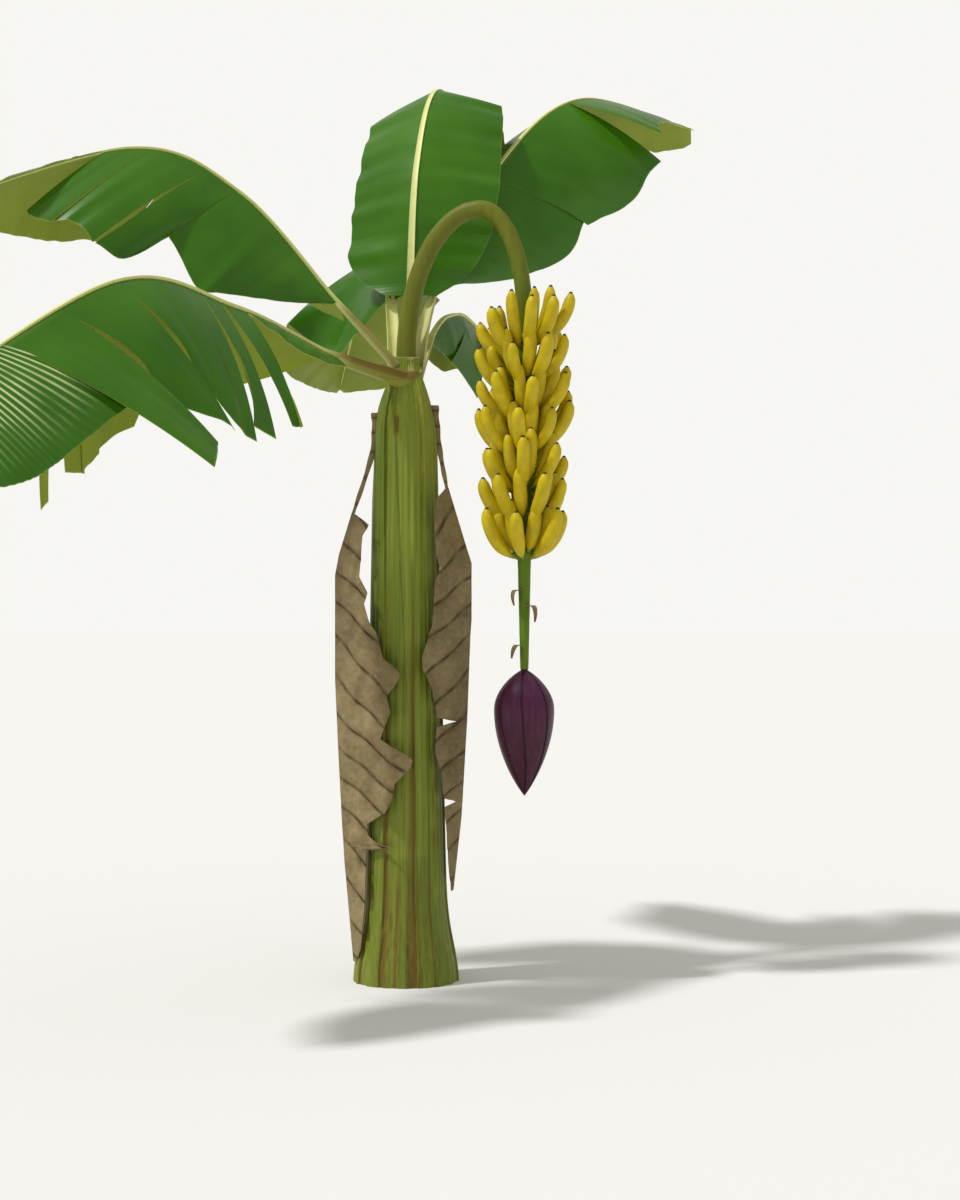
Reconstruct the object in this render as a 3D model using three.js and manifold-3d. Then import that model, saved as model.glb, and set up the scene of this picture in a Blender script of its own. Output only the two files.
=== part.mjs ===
// Banana plant carrying a bunch and its flower bud. Millimetres, +Z up.
// The origin is the middle of the flat cut under the pseudostem, at ground level.
// The bunch hangs on the +X side, the open front of the crown faces -Y.

import * as THREE from 'three';
import { mergeVertices } from 'three/addons/utils/BufferGeometryUtils.js';
import Module from 'manifold-3d';

const wasm = await Module();
wasm.setup();

// Driving dimensions

const gap = 0.3; // between pieces that touch
const weldReach = 1e-3; // vertices closer than this become one

const pseudostem = {
  height: 2070,
  footRadius: 136, // of the straight taper, without the flare
  taper: 0.0204, // millimetres of radius lost per millimetre of height
  flare: 36, // added radius at the ground
  flareReach: 170, // height over which the flare dies out
  shoulder: 1800, // where the sheaths start to close in
  shoulderReach: 230,
  neckRadius: 46,
  footRings: [0, 45, 90, 140, 200, 290],
  shaftRings: [620, 1000, 1400],
  shoulderRings: 4,
  sides: 18
};

const fruitStalk = {
  lean: -0.25, // how far it comes forward for each millimetre sideways
  riseReach: 245, // quarter ellipse from the crown up to the top of the arch
  riseHeight: 490,
  fallReach: 148, // quarter ellipse from the top of the arch to the hanging part
  fallHeight: 357,
  hangEnd: 1040, // height where the bud starts
  rootRadius: 32,
  archRadius: 30,
  hangRadius: 25,
  endRadius: 13,
  bendStart: 0.3, // share of the arch left to the rising piece
  bendEnd: 0.74,
  archLength: 900, // length of the whole arch, roughly
  archSteps: 7,
  hangSteps: 4,
  sides: 8
};

const bunch = {
  hands: 7,
  topHand: 2122, // height of the highest hand's cushion
  bottomHand: 1425,
  topReach: 172, // from the stalk to the finger tips
  bottomReach: 156,
  fingerRise: 138, // tips above the cushion
  fingerThickness: 36,
  scallop: 0.12, // depth of the grooves between fingers, as a share of the radius
  tipStep: 12, // how far the tips stand above the grooves
  topFingers: 10,
  bottomFingers: 8,
  handTurn: 0.4 // radians that each hand is turned from the one above
};

const bud = {
  length: 418,
  radius: 101,
  widest: 0.32, // share of the length above the widest ring
  topFullness: 0.7, // powers that swell the outline above and below the widest ring
  tipFullness: 0.85,
  rows: 9,
  sides: 14
};

const blade = {
  edge: 5, // thickness at the margin
  rib: 26, // thickness over the midrib where the blade starts
  ribLoss: 0.8, // share of the rib lost by the tip
  splitGap: 0.002, // share left open between its pieces
  tipStart: 0.55, // where the margins start to close towards the tip
  tipPower: 2.4,
  neck: 0.1, // half width where it leaves the petiole, as a share of the widest
  point: 0.05, // half width left at the tip
  cupping: 0.25, // share of the fold that is gained from midrib to margin
  tearWidth: 0.024, // of a tear at the margin, as a share of the blade's length
  tearDepth: 0.68, // share of the half width that a tear cuts into the solid
  tearHeight: 60, // thickness of the wedge that cuts it
  nudge: 0.05, // step across the blade over which its slope is read
  steps: 6,
  crowding: 1.4, // how much closer the steps stand towards the blade's own ends
  columns: 6
};
const petiole = {
  flatness: 0.75, // depth as a share of the width
  endGap: 0.003, // share of the midrib left open before the blade
  sides: 8,
  steps: 4
};

// Each leaf leaves the crown at its base point and heads off at an azimuth measured from +X.
// Its midrib runs through four places given as [reach, height] from the base.
// A half blade is torn into strips. Each strip runs along the blade to its end place, and
// gives at its start and its end: the angle it folds down from the midrib, how far its veins
// run on towards the tip, and its width as a share of the leaf's half width.
// A half hangs straight down rather than square to the midrib by its droop share.
// Each blade is an inner and an outer piece, parted at its split, where a fold may jump.
const leaves = {
  leaf_left_high: {
    base: [-26, -18, 2048],
    azimuth: 187,
    turn: 2,
    petiole: [195, 205],
    rise: [520, 563],
    crest: [885, 698],
    tip: [1560, 470],
    split: 0.6,
    halfWidth: 385,
    roundBase: 0.25,
    petioleWidth: [30, 20],
    left: {
      droop: 0.4,
      strips: [
        { end: 0.34, fold: [60, 68], sweep: [0.8, 0.05], width: [0.95, 1.08] },
        { end: 0.48, fold: [68, 66], sweep: [0.05, 0.4], width: [1.02, 1.08] },
        { end: 0.6, fold: [66, 56], sweep: [0.4, 1], width: [0.95, 0.74] },
        { end: 1, fold: [18, 8], sweep: [0.3, 0.2], width: [0.9, 1] }
      ]
    },
    right: {
      droop: 0.2,
      strips: [
        { end: 0.42, fold: [25, 36], sweep: [0.4, 0.2], width: [1, 1] },
        { end: 0.72, fold: [36, 36], sweep: [0.2, 0.3], width: [1, 1] },
        { end: 1, fold: [36, 16], sweep: [0.3, 0.2], width: [1, 1] }
      ]
    }
  },
  leaf_left_low: {
    base: [-8, -30, 2006],
    azimuth: 228,
    turn: 0,
    petiole: [330, 52],
    rise: [746, 166],
    crest: [1225, 192],
    tip: [1960, -250],
    split: 0.54,
    halfWidth: 490,
    roundBase: 0.12,
    petioleWidth: [38, 22],
    left: {
      droop: 0,
      strips: [
        { end: 0.1, fold: [76, 66], sweep: [0.2, -0.1], width: [0.6, 0.5] },
        { end: 0.16, fold: [66, 64], sweep: [-0.1, -0.12], width: [0.8, 0.84] },
        { end: 0.26, fold: [64, 64], sweep: [-0.12, -0.1], width: [0.9, 0.94] },
        { end: 0.36, fold: [64, 62], sweep: [-0.1, -0.05], width: [0.93, 1.05] },
        { end: 0.54, fold: [62, 62], sweep: [-0.05, 0.08], width: [1.1, 1.38] },
        { end: 1, fold: [54, 50], sweep: [0, 0.2], width: [0.8, 1.05] }
      ]
    },
    right: {
      droop: 0.2,
      strips: [
        { end: 0.28, fold: [30, 48], sweep: [0, 0.1], width: [0.9, 0.9] },
        { end: 0.5, fold: [48, 64], sweep: [0.1, 0.1], width: [1, 1] },
        { end: 0.68, fold: [64, 62], sweep: [0.1, 0.2], width: [1.02, 1] },
        { end: 1, fold: [62, 44], sweep: [0.2, 0.2], width: [1, 1] }
      ]
    }
  },
  leaf_back_tall: {
    base: [6, 34, 2050],
    azimuth: 86,
    turn: -14,
    petiole: [45, 245],
    rise: [140, 690],
    crest: [430, 1018],
    tip: [1000, 800],
    split: 0.5,
    halfWidth: 300,
    roundBase: 0.1,
    petioleWidth: [26, 20],
    left: { droop: 0, strips: [{ end: 1, fold: [16, 26], sweep: [0, 0.3], width: [0.87, 0.87] }] },
    right: { droop: 0, strips: [{ end: 1, fold: [14, 18], sweep: [0, 0.3], width: [1, 0.76] }] }
  },
  leaf_right_high: {
    base: [38, 18, 2044],
    azimuth: 64,
    turn: -26,
    petiole: [100, 250],
    rise: [450, 755],
    crest: [800, 1015],
    tip: [1250, 920],
    split: 0.6,
    halfWidth: 385,
    roundBase: 0.2,
    petioleWidth: [26, 20],
    left: {
      droop: 0.2,
      strips: [
        { end: 0.42, fold: [8, 34], sweep: [0.4, 0.2], width: [0.8, 0.95] },
        { end: 0.7, fold: [34, 30], sweep: [0.2, 0.3], width: [0.95, 0.95] },
        { end: 1, fold: [30, 12], sweep: [0.3, 0.2], width: [0.9, 0.9] }
      ]
    },
    right: {
      droop: 0.45,
      strips: [
        { end: 0.4, fold: [74, 64], sweep: [0.8, 0.4], width: [1, 1.05] },
        { end: 0.6, fold: [64, 54], sweep: [0.4, 1.25], width: [1.08, 1.02] },
        { end: 1, fold: [18, 8], sweep: [0.3, 0.2], width: [0.9, 0.9] }
      ]
    }
  },
  leaf_back_left: {
    base: [-36, 34, 2024],
    azimuth: 101,
    turn: 0,
    petiole: [120, 270],
    rise: [300, 385],
    crest: [620, 445],
    tip: [1430, 78],
    split: 0.5,
    halfWidth: 350,
    roundBase: 0.15,
    petioleWidth: [22, 20],
    left: {
      droop: 0.2,
      strips: [
        { end: 0.55, fold: [30, 42], sweep: [0, 0.2], width: [1, 1] },
        { end: 1, fold: [42, 20], sweep: [0.2, 0.2], width: [1, 1] }
      ]
    },
    right: {
      droop: 0.2,
      strips: [
        { end: 0.4, fold: [22, 35], sweep: [0, 0.2], width: [0.8, 1] },
        { end: 1, fold: [35, 20], sweep: [0.2, 0.2], width: [1, 1] }
      ]
    }
  },
  leaf_back_right: {
    base: [26, 44, 1985],
    azimuth: 70,
    turn: 0,
    petiole: [150, 165],
    rise: [330, 250],
    crest: [580, 265],
    tip: [1120, 90],
    split: 0.5,
    halfWidth: 300,
    roundBase: 0.15,
    petioleWidth: [24, 20],
    left: {
      droop: 0.2,
      strips: [
        { end: 0.35, fold: [30, 38], sweep: [0, 0.1], width: [0.9, 1] },
        { end: 1, fold: [38, 20], sweep: [0.1, 0.2], width: [0.95, 0.95] }
      ]
    },
    right: {
      droop: 0.3,
      strips: [
        { end: 0.4, fold: [36, 48], sweep: [0, 0.1], width: [1, 1] },
        { end: 0.7, fold: [48, 56], sweep: [0.1, 0.2], width: [1, 1] },
        { end: 1, fold: [56, 20], sweep: [0.2, 0.2], width: [1, 1] }
      ]
    }
  }
};

// Dead leaves hang from straps on the shoulder. Their edges are distances from the stem's axis,
// read at heights from the foot of the blade up to its neck.
const deadHeights = [0, 0.3, 0.6, 0.88, 1];
const deadLeaves = {
  dead_leaf_left: {
    side: -1,
    neck: 1555,
    foot: 70,
    strapTop: 1890,
    outer: [190, 208, 237, 228, 172],
    inner: [174, 128, 70, 148, 158],
    depth: 14, // how far behind the stem's middle the outer edge hangs
    slant: 0.8, // how far it comes forward for each millimetre towards the stem
    lobes: [{ height: 1035, reach: 62, span: 75 }, { height: 745, reach: 92, span: 80 }]
  },
  dead_leaf_right: {
    side: 1,
    neck: 1637,
    foot: 307,
    strapTop: 1915,
    outer: [160, 186, 205, 214, 150],
    inner: [146, 118, 108, 110, 136],
    depth: 14,
    slant: 0.95,
    lobes: [{ height: 1075, reach: 50, span: 60 }, { height: 790, reach: 20, span: 60 }]
  }
};
const deadBlade = {
  thickness: 9.8,
  crumple: 11, // depth of the folds at the inner edge
  folds: 9,
  foldSlant: 3, // radians by which a fold lags across the blade
  rows: 18,
  columns: 3
};
const strap = {
  width: 14,
  thickness: 7,
  neckWidth: 8,
  standOff: 6, // from the stem where the strap leaves it
  reach: 130, // height over which it lies along the stem
  sides: 6,
  steps: 5
};

// Helpers

const degrees = Math.PI / 180;

const vector = (x, y, z) => new THREE.Vector3(x, y, z);

const mix = (a, b, t) => a + (b - a) * t;

const clamp = (t) => Math.min(1, Math.max(0, t));

const ease = (t) => {
  const c = clamp(t);
  return c * c * (3 - 2 * c);
};

// Reads a row of values at a place between 0 and 1, easing from each to the next
function along(values, places, t) {
  let i = 0;
  while (i < places.length - 2 && t > places[i + 1]) i += 1;
  const share = (t - places[i]) / (places[i + 1] - places[i]);
  return mix(values[i], values[i + 1], ease(share));
}

// Moves every vertex of a primitive by a mapping and welds it into one closed body
function shaped(primitive, mapping) {
  const position = primitive.getAttribute('position');
  for (let i = 0; i < position.count; i += 1) {
    const p = mapping(position.getX(i), position.getY(i), position.getZ(i));
    position.setXYZ(i, p.x, p.y, p.z);
  }
  return welded(primitive);
}

// One closed body with its faces pointing out
function welded(geometry) {
  geometry.deleteAttribute('normal');
  geometry.deleteAttribute('uv');
  const merged = mergeVertices(geometry, weldReach);
  if (volumeOf(merged) < 0) merged.index.array.reverse();
  return merged;
}

function volumeOf(geometry) {
  const position = geometry.getAttribute('position');
  const corner = (k) => new THREE.Vector3().fromBufferAttribute(position, geometry.index.getX(k));
  let sum = 0;
  for (let i = 0; i < geometry.index.count; i += 3) {
    sum += corner(i).dot(corner(i + 1).cross(corner(i + 2))) / 6;
  }
  return sum;
}

// A tapering limb: a cylinder bent along a path, with half width and half depth read along it.
// The path gives, for t from 0 to 1, a point and the three directions of its section.
function limb(path, halfWidth, halfDepth, { sides = 8, steps = 8, grow = 0 } = {}) {
  return shaped(new THREE.CylinderGeometry(1, 1, 1, sides, steps), (x, y, z) => {
    const t = y + 0.5;
    const { point, side, up } = path(t);
    return point.clone()
      .addScaledVector(side, -x * (halfWidth(t) + grow))
      .addScaledVector(up, z * (halfDepth(t) + grow));
  });
}

// The part of a path between two of its places
const stretch = (path, from, to) => (t) => path(mix(from, to, t));

function solid(geometry) {
  return new wasm.Manifold(new wasm.Mesh({
    numProp: 3,
    vertProperties: new Float32Array(geometry.getAttribute('position').array),
    triVerts: new Uint32Array(geometry.index.array)
  }));
}

function geometryOf(manifold) {
  const mesh = manifold.getMesh();
  const geometry = new THREE.BufferGeometry();
  geometry.setAttribute('position', new THREE.BufferAttribute(mesh.vertProperties, 3));
  geometry.setIndex(new THREE.BufferAttribute(mesh.triVerts, 1));
  return geometry;
}

// Cuts the grown shapes of its neighbours out of a piece and keeps its largest body
function cutBy(geometry, cutters) {
  let result = solid(geometry);
  for (const cutter of cutters) result = result.subtract(solid(cutter));
  const bodies = result.decompose().sort((a, b) => b.volume() - a.volume());
  return geometryOf(bodies[0]);
}

// Pseudostem

function stemRadius(z) {
  const straight = pseudostem.footRadius - pseudostem.taper * Math.min(z, pseudostem.shoulder);
  const flare = pseudostem.flare * Math.exp(-((z / pseudostem.flareReach) ** 2));
  const closing = clamp((z - pseudostem.shoulder) / pseudostem.shoulderReach);
  const neck = pseudostem.neckRadius;
  return neck + (straight + flare - neck) * Math.cos(closing * Math.PI / 2);
}

function stemHeights() {
  const { footRings, shaftRings, shoulderRings, shoulder, shoulderReach, height } = pseudostem;
  const closing = [];
  for (let i = 0; i <= shoulderRings; i += 1) closing.push(shoulder + (i / shoulderRings) * shoulderReach);
  return [...footRings, ...shaftRings, ...closing, height];
}

function makePseudostem(grow = 0) {
  const rings = stemHeights().map((z) => new THREE.Vector2(stemRadius(z) + grow, z));
  const top = pseudostem.height + grow;
  rings[rings.length - 1].y = top;
  const profile = [new THREE.Vector2(0, 0), ...rings, new THREE.Vector2(0, top)];
  const lathe = new THREE.LatheGeometry(profile, pseudostem.sides);
  return shaped(lathe, (x, y, z) => vector(x, -z, y));
}

// Fruit stalk

function stalkPoint(t) {
  // From the crown to the end of the arch
  const s = fruitStalk;
  const angle = t * Math.PI;
  const rising = angle < Math.PI / 2;
  const top = pseudostem.height + s.riseHeight;
  const x = rising
    ? s.riseReach * (1 - Math.cos(angle))
    : s.riseReach - s.fallReach * Math.cos(angle);
  const z = rising
    ? pseudostem.height + s.riseHeight * Math.sin(angle)
    : top - s.fallHeight * (1 - Math.sin(angle));
  return vector(x, s.lean * x, z);
}

function archPath(t) {
  const step = 1e-3;
  const tangent = stalkPoint(Math.min(1, t + step)).sub(stalkPoint(Math.max(0, t - step))).normalize();
  const side = vector(-fruitStalk.lean, 1, 0).normalize().negate();
  return { point: stalkPoint(t), tangent, side, up: side.clone().cross(tangent) };
}

const archEnd = () => stalkPoint(1);

function hangPath(t) {
  const start = archEnd();
  const point = vector(start.x, start.y, mix(start.z, fruitStalk.hangEnd, t));
  const { side, up } = archPath(1);
  return { point, side, up };
}

function makeArchPiece(from, to, grow = 0) {
  const share = gap / fruitStalk.archLength;
  const path = stretch(archPath, from + share, to - share);
  const radius = (t) => {
    const place = mix(from, to, t);
    return place < 0.5
      ? mix(fruitStalk.rootRadius, fruitStalk.archRadius, place * 2)
      : mix(fruitStalk.archRadius, fruitStalk.hangRadius, place * 2 - 1);
  };
  return limb(path, radius, radius, { sides: fruitStalk.sides, steps: fruitStalk.archSteps, grow });
}

function makeHang() {
  const { hangRadius, endRadius, hangEnd, hangSteps, sides } = fruitStalk;
  const share = gap / (archEnd().z - hangEnd);
  const radius = (t) => mix(hangRadius, endRadius, t * t);
  return limb(stretch(hangPath, share, 1 - share), radius, radius, { sides, steps: hangSteps });
}

// Hands of fruit: each is a ring of fingers that curve out and up round the stalk

function makeHand(index) {
  const t = index / (bunch.hands - 1);
  const level = mix(bunch.topHand, bunch.bottomHand, t);
  const reach = mix(bunch.topReach, bunch.bottomReach, t);
  const fingers = Math.round(mix(bunch.topFingers, bunch.bottomFingers, t));
  const hole = fruitStalk.hangRadius + 1;
  const thick = bunch.fingerThickness;
  const rise = bunch.fingerRise;
  // Section of one finger, from the cushion out along its underside and back along its top
  const section = [
    [hole, 0], [reach * 0.55, rise * 0.02], [reach * 0.9, rise * 0.36], [reach, rise * 0.7],
    [reach - thick * 0.4, rise], [reach - thick * 1.1, rise * 0.68], [hole, rise * 0.3], [hole, 0]
  ].map(([r, z]) => new THREE.Vector2(r, z));
  const { x: cx, y: cy } = archEnd();
  const lathe = new THREE.LatheGeometry(section, fingers * 2);
  return shaped(lathe, (x, z, y) => {
    const radius = Math.hypot(x, y);
    const angle = Math.atan2(x, y);
    const outside = clamp((radius - hole) / (reach - hole));
    const ridge = Math.cos(angle * fingers);
    const groove = outside * bunch.scallop * (1 - ridge) / 2;
    const turned = angle + index * bunch.handTurn;
    return vector(
      cx + radius * (1 - groove) * Math.sin(turned),
      cy - radius * (1 - groove) * Math.cos(turned),
      level + z + outside * outside * bunch.tipStep * ridge
    );
  });
}

// Flower bud

function budRadius(t) {
  const swell = t < bud.widest
    ? Math.sin((t / bud.widest) * Math.PI / 2) ** bud.topFullness
    : Math.cos(((t - bud.widest) / (1 - bud.widest)) * Math.PI / 2) ** bud.tipFullness;
  return bud.radius * swell;
}

function makeBud() {
  const profile = [new THREE.Vector2(0, -bud.length)];
  for (let i = bud.rows - 1; i > 0; i -= 1) {
    const t = i / bud.rows;
    profile.push(new THREE.Vector2(budRadius(t), -t * bud.length));
  }
  profile.push(new THREE.Vector2(fruitStalk.endRadius, 0), new THREE.Vector2(0, 0));
  const { x: cx, y: cy } = archEnd();
  const top = fruitStalk.hangEnd - gap;
  const lathe = new THREE.LatheGeometry(profile, bud.sides);
  return shaped(lathe, (x, y, z) => vector(cx + x, cy - z, top + y));
}

// Leaves

function midribPath(leaf) {
  const places = [[0, 0], leaf.petiole, leaf.rise, leaf.crest, leaf.tip];
  const spline = new THREE.SplineCurve(places.map(([r, h]) => new THREE.Vector2(r, h)));
  const base = vector(...leaf.base);
  const heading = (t) => (leaf.azimuth + leaf.turn * t) * degrees;
  const at = (t) => {
    const { x: reach, y: height } = spline.getPointAt(clamp(t));
    const a = heading(t);
    return vector(reach * Math.cos(a), reach * Math.sin(a), height).add(base);
  };
  const path = (t) => {
    const step = 2e-3;
    const tangent = at(t + step).sub(at(t - step)).normalize();
    const a = heading(t);
    const level = vector(Math.sin(a), -Math.cos(a), 0);
    const up = level.clone().cross(tangent).normalize();
    const side = tangent.clone().cross(up);
    return { point: at(t), tangent, side, up };
  };
  const petioleShare = placeNear(at, leaf);
  return { path, petioleShare };
}

// Share of the midrib that is bare petiole: where it passes the petiole's stated end
function placeNear(at, leaf) {
  let best = 0;
  for (let t = 0; t < 0.5; t += 0.005) {
    const distance = Math.abs(at(t).z - leaf.base[2] - leaf.petiole[1]);
    const bestDistance = Math.abs(at(best).z - leaf.base[2] - leaf.petiole[1]);
    if (distance < bestDistance) best = t;
  }
  return best;
}

// Half width along the blade as a share of the widest: a round base, full middle, tapering tip
function outline(s, roundBase) {
  const { tipStart, tipPower, neck, point } = blade;
  const base = s < roundBase ? Math.sqrt(1 - (1 - Math.max(0, s) / roundBase) ** 2) : 1;
  const tip = s > tipStart ? 1 - ((s - tipStart) / (1 - tipStart)) ** tipPower : 1;
  return Math.max(neck, base) * Math.max(point, tip);
}

// The strip that a place along a half blade lies on, and how far along the strip it is
function stripAt(half, s) {
  const { strips } = half;
  const index = Math.max(0, strips.findIndex((strip) => s < strip.end));
  const strip = s >= 1 ? strips[strips.length - 1] : strips[index];
  const before = strips[strips.indexOf(strip) - 1];
  const start = before ? before.end : 0;
  return { strip, share: clamp((s - start) / (strip.end - start)) };
}

const tearsOf = (half) => half.strips.slice(0, -1).map((strip) => strip.end);

// A point of the blade: s runs along it, u from -1 at the right margin to 1 at the left
function bladePoint(leaf, midrib, s, u) {
  const { point, tangent, side, up } = midrib.path(mix(midrib.petioleShare, 1, s));
  const half = u > 0 ? leaf.left : leaf.right;
  const { strip, share } = stripAt(half, s);
  const read = ([from, to]) => mix(from, to, share);
  const across = Math.abs(u);
  const width = leaf.halfWidth * outline(s, leaf.roundBase) * read(strip.width);
  const angle = read(strip.fold) * degrees * (1 - blade.cupping * (1 - across));
  const down = up.clone().negate().lerp(vector(0, 0, -1), half.droop).normalize();
  return point
    .addScaledVector(side, -Math.sign(u) * width * across * Math.cos(angle))
    .addScaledVector(down, width * across * Math.sin(angle))
    .addScaledVector(tangent, width * across * read(strip.sweep));
}

// The direction straight out of the blade at one of its points
function bladeNormal(leaf, midrib, s, u) {
  const ahead = midrib.path(mix(midrib.petioleShare, 1, s)).tangent;
  const left = bladePoint(leaf, midrib, s, u + blade.nudge);
  const right = bladePoint(leaf, midrib, s, u - blade.nudge);
  return left.sub(right).cross(ahead).normalize();
}

// Places along the blade at which it is stepped, with one at each side of a tear
function bladeSteps(leaf, from, to) {
  const { steps: count, tearWidth, crowding } = blade;
  const [end, parting] = from > 0 ? [to, from] : [from, to];
  const tears = [...tearsOf(leaf.left), ...tearsOf(leaf.right)].filter((s) => s > from && s < to);
  const steps = [];
  for (let i = 0; i <= count; i += 1) {
    const s = mix(end, parting, (i / count) ** crowding);
    const clear = tears.every((tear) => Math.abs(tear - s) > tearWidth);
    if (i === 0 || i === count || clear) steps.push(s);
  }
  for (const tear of tears) {
    for (const s of [tear - tearWidth / 4, tear + tearWidth / 4]) {
      if (s > from && s < to) steps.push(s);
    }
  }
  return steps.sort((a, b) => a - b);
}

// Turns the diagonals of a box's under side to match the upper side's, so that a thin box may twist
function matchDiagonals(box) {
  const { start, count } = box.groups[5];
  for (let i = start; i < start + count; i += 6) {
    const [a, b, d, , c] = box.index.array.slice(i, i + 6);
    box.index.array.set([a, b, c, a, c, d], i);
  }
  return box;
}

function makeWholeBlade(leaf, midrib, from, to, grow = 0) {
  const steps = bladeSteps(leaf, from, to);
  const box = new THREE.BoxGeometry(2, steps.length - 1, 1, blade.columns, steps.length - 1, 1);
  return shaped(matchDiagonals(box), (u, y, z) => {
    const s = steps[Math.round(y + (steps.length - 1) / 2)];
    const rib = (blade.rib - blade.edge) * (1 - Math.abs(u)) ** 3 * (1 - blade.ribLoss * s);
    return bladePoint(leaf, midrib, s, u)
      .addScaledVector(bladeNormal(leaf, midrib, s, u), z * (blade.edge + rib + 2 * grow));
  });
}

// The wedge that opens a tear, from its inner end out past the margin
function makeTear(leaf, midrib, place, side) {
  const inner = 1 - blade.tearDepth;
  return shaped(new THREE.BoxGeometry(1, 2, 1, 4, 1, 1), (x, y, z) => {
    const across = mix(inner, 1 + blade.nudge, x + 0.5);
    const open = blade.tearWidth / 2 * mix(blade.nudge, 1, x + 0.5);
    const s = place + y * open;
    const u = side * across;
    return bladePoint(leaf, midrib, s, u)
      .addScaledVector(bladeNormal(leaf, midrib, s, u), z * blade.tearHeight);
  });
}

// A stretch of a blade with its tears, kept clear of the stretch before it
function makeBlade(leaf, from, to) {
  const midrib = midribPath(leaf);
  const within = (place) => place > from && place < to;
  const cutters = [
    ...tearsOf(leaf.left).filter(within).map((place) => makeTear(leaf, midrib, place, 1)),
    ...tearsOf(leaf.right).filter(within).map((place) => makeTear(leaf, midrib, place, -1))
  ];
  if (from > 0) cutters.push(makeWholeBlade(leaf, midrib, 0, from - blade.splitGap / 2, gap));
  return cutBy(makeWholeBlade(leaf, midrib, from, to), cutters);
}

function makePetiole(leaf, grow = 0) {
  const midrib = midribPath(leaf);
  const [root, end] = leaf.petioleWidth;
  const halfWidth = (t) => mix(root, end, t);
  const halfDepth = (t) => halfWidth(t) * petiole.flatness;
  const path = stretch(midrib.path, 0, midrib.petioleShare - petiole.endGap);
  return limb(path, halfWidth, halfDepth, { sides: petiole.sides, steps: petiole.steps, grow });
}

// Dead leaves

// A point of the hanging blade: t runs up from its foot to its neck, w from the outer edge in
function deadPoint(dead, t, w) {
  const height = mix(dead.foot, dead.neck, t);
  const lobes = dead.lobes.map(({ height: middle, reach, span }) => {
    const away = (height - middle) / span;
    return reach * Math.exp(-(away * away));
  });
  const inner = along(dead.inner, deadHeights, t) - lobes.reduce((sum, lobe) => sum + lobe, 0);
  const outer = along(dead.outer, deadHeights, t);
  const across = mix(outer, inner, w);
  const wave = Math.sin(t * deadBlade.folds * Math.PI + w * deadBlade.foldSlant);
  const crumple = deadBlade.crumple * wave * w * (1 - t);
  return vector(dead.side * across, hangDepth(dead, across) - crumple, height);
}

// How far in front of or behind the stem's middle a dead leaf hangs, by its distance from the axis
function hangDepth(dead, across) {
  return dead.depth - dead.slant * (dead.outer[2] - across);
}

function makeDeadBlade(dead) {
  const { rows, columns, thickness } = deadBlade;
  const box = new THREE.BoxGeometry(1, 1, 1, columns, 1, rows);
  return shaped(box, (x, y, z) => {
    const w = dead.side * -x + 0.5;
    return deadPoint(dead, z + 0.5, w).add(vector(0, y * thickness, 0));
  });
}

function makeStrap(dead) {
  const { standOff, reach, width: topWidth, neckWidth, thickness, sides, steps } = strap;
  const neckReach = dead.outer[4] - neckWidth * 0.6;
  const leaving = dead.strapTop - reach;
  const places = [
    [stemRadius(dead.strapTop) + standOff, -standOff, dead.strapTop],
    [stemRadius(leaving) + standOff, -dead.depth, leaving],
    [neckReach, hangDepth(dead, neckReach), dead.neck + gap]
  ];
  const curve = new THREE.CatmullRomCurve3(places.map(([x, y, z]) => vector(dead.side * x, y, z)));
  const side = vector(1, 0, 0);
  const up = vector(0, -1, 0);
  const path = (t) => ({ point: curve.getPointAt(clamp(t)), side, up });
  const width = (t) => mix(topWidth, neckWidth, t);
  return limb(path, width, () => thickness, { sides, steps });
}

// Assembly

const plant = new THREE.Group();

function add(name, geometry, { color, roughness }) {
  const material = new THREE.MeshStandardMaterial({ color, roughness, metalness: 0 });
  const mesh = new THREE.Mesh(geometry, material);
  mesh.name = name;
  plant.add(mesh);
}

const finishes = {
  stem: { color: '#7f8a3c', roughness: 0.6 },
  stalk: { color: '#6d7a2c', roughness: 0.55 },
  petiole: { color: '#8d9a4a', roughness: 0.5 },
  blade: { color: '#3c7a25', roughness: 0.35 },
  fruit: { color: '#cdb01f', roughness: 0.45 },
  bud: { color: '#45203a', roughness: 0.5 },
  deadStrap: { color: '#6f5c42', roughness: 0.85 },
  deadBlade: { color: '#8a7656', roughness: 0.9 }
};

add('pseudostem', makePseudostem(), finishes.stem);
add('fruit_stalk_rise', makeArchPiece(0, fruitStalk.bendStart), finishes.stalk);
add('fruit_stalk_bend', makeArchPiece(fruitStalk.bendStart, fruitStalk.bendEnd), finishes.stalk);
add('fruit_stalk_fall', makeArchPiece(fruitStalk.bendEnd, 1), finishes.stalk);
add('fruit_stalk_hang', makeHang(), finishes.stalk);
for (let i = 0; i < bunch.hands; i += 1) add(`hand_${i + 1}`, makeHand(i), finishes.fruit);
add('flower_bud', makeBud(), finishes.bud);

// Each petiole is cut clear of the stem, the fruit stalk and the petioles made before it
const crown = [makePseudostem(gap), makeArchPiece(0, fruitStalk.bendStart, gap)];
for (const [name, leaf] of Object.entries(leaves)) {
  add(`${name}_petiole`, cutBy(makePetiole(leaf), crown), finishes.petiole);
  add(`${name}_inner`, makeBlade(leaf, 0, leaf.split - blade.splitGap), finishes.blade);
  add(`${name}_outer`, makeBlade(leaf, leaf.split, 1), finishes.blade);
  crown.push(makePetiole(leaf, gap));
}

for (const [name, dead] of Object.entries(deadLeaves)) {
  add(`${name}_strap`, cutBy(makeStrap(dead), [makePseudostem(gap)]), finishes.deadStrap);
  add(name, makeDeadBlade(dead), finishes.deadBlade);
}

export default plant;
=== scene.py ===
import math
import random

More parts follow.
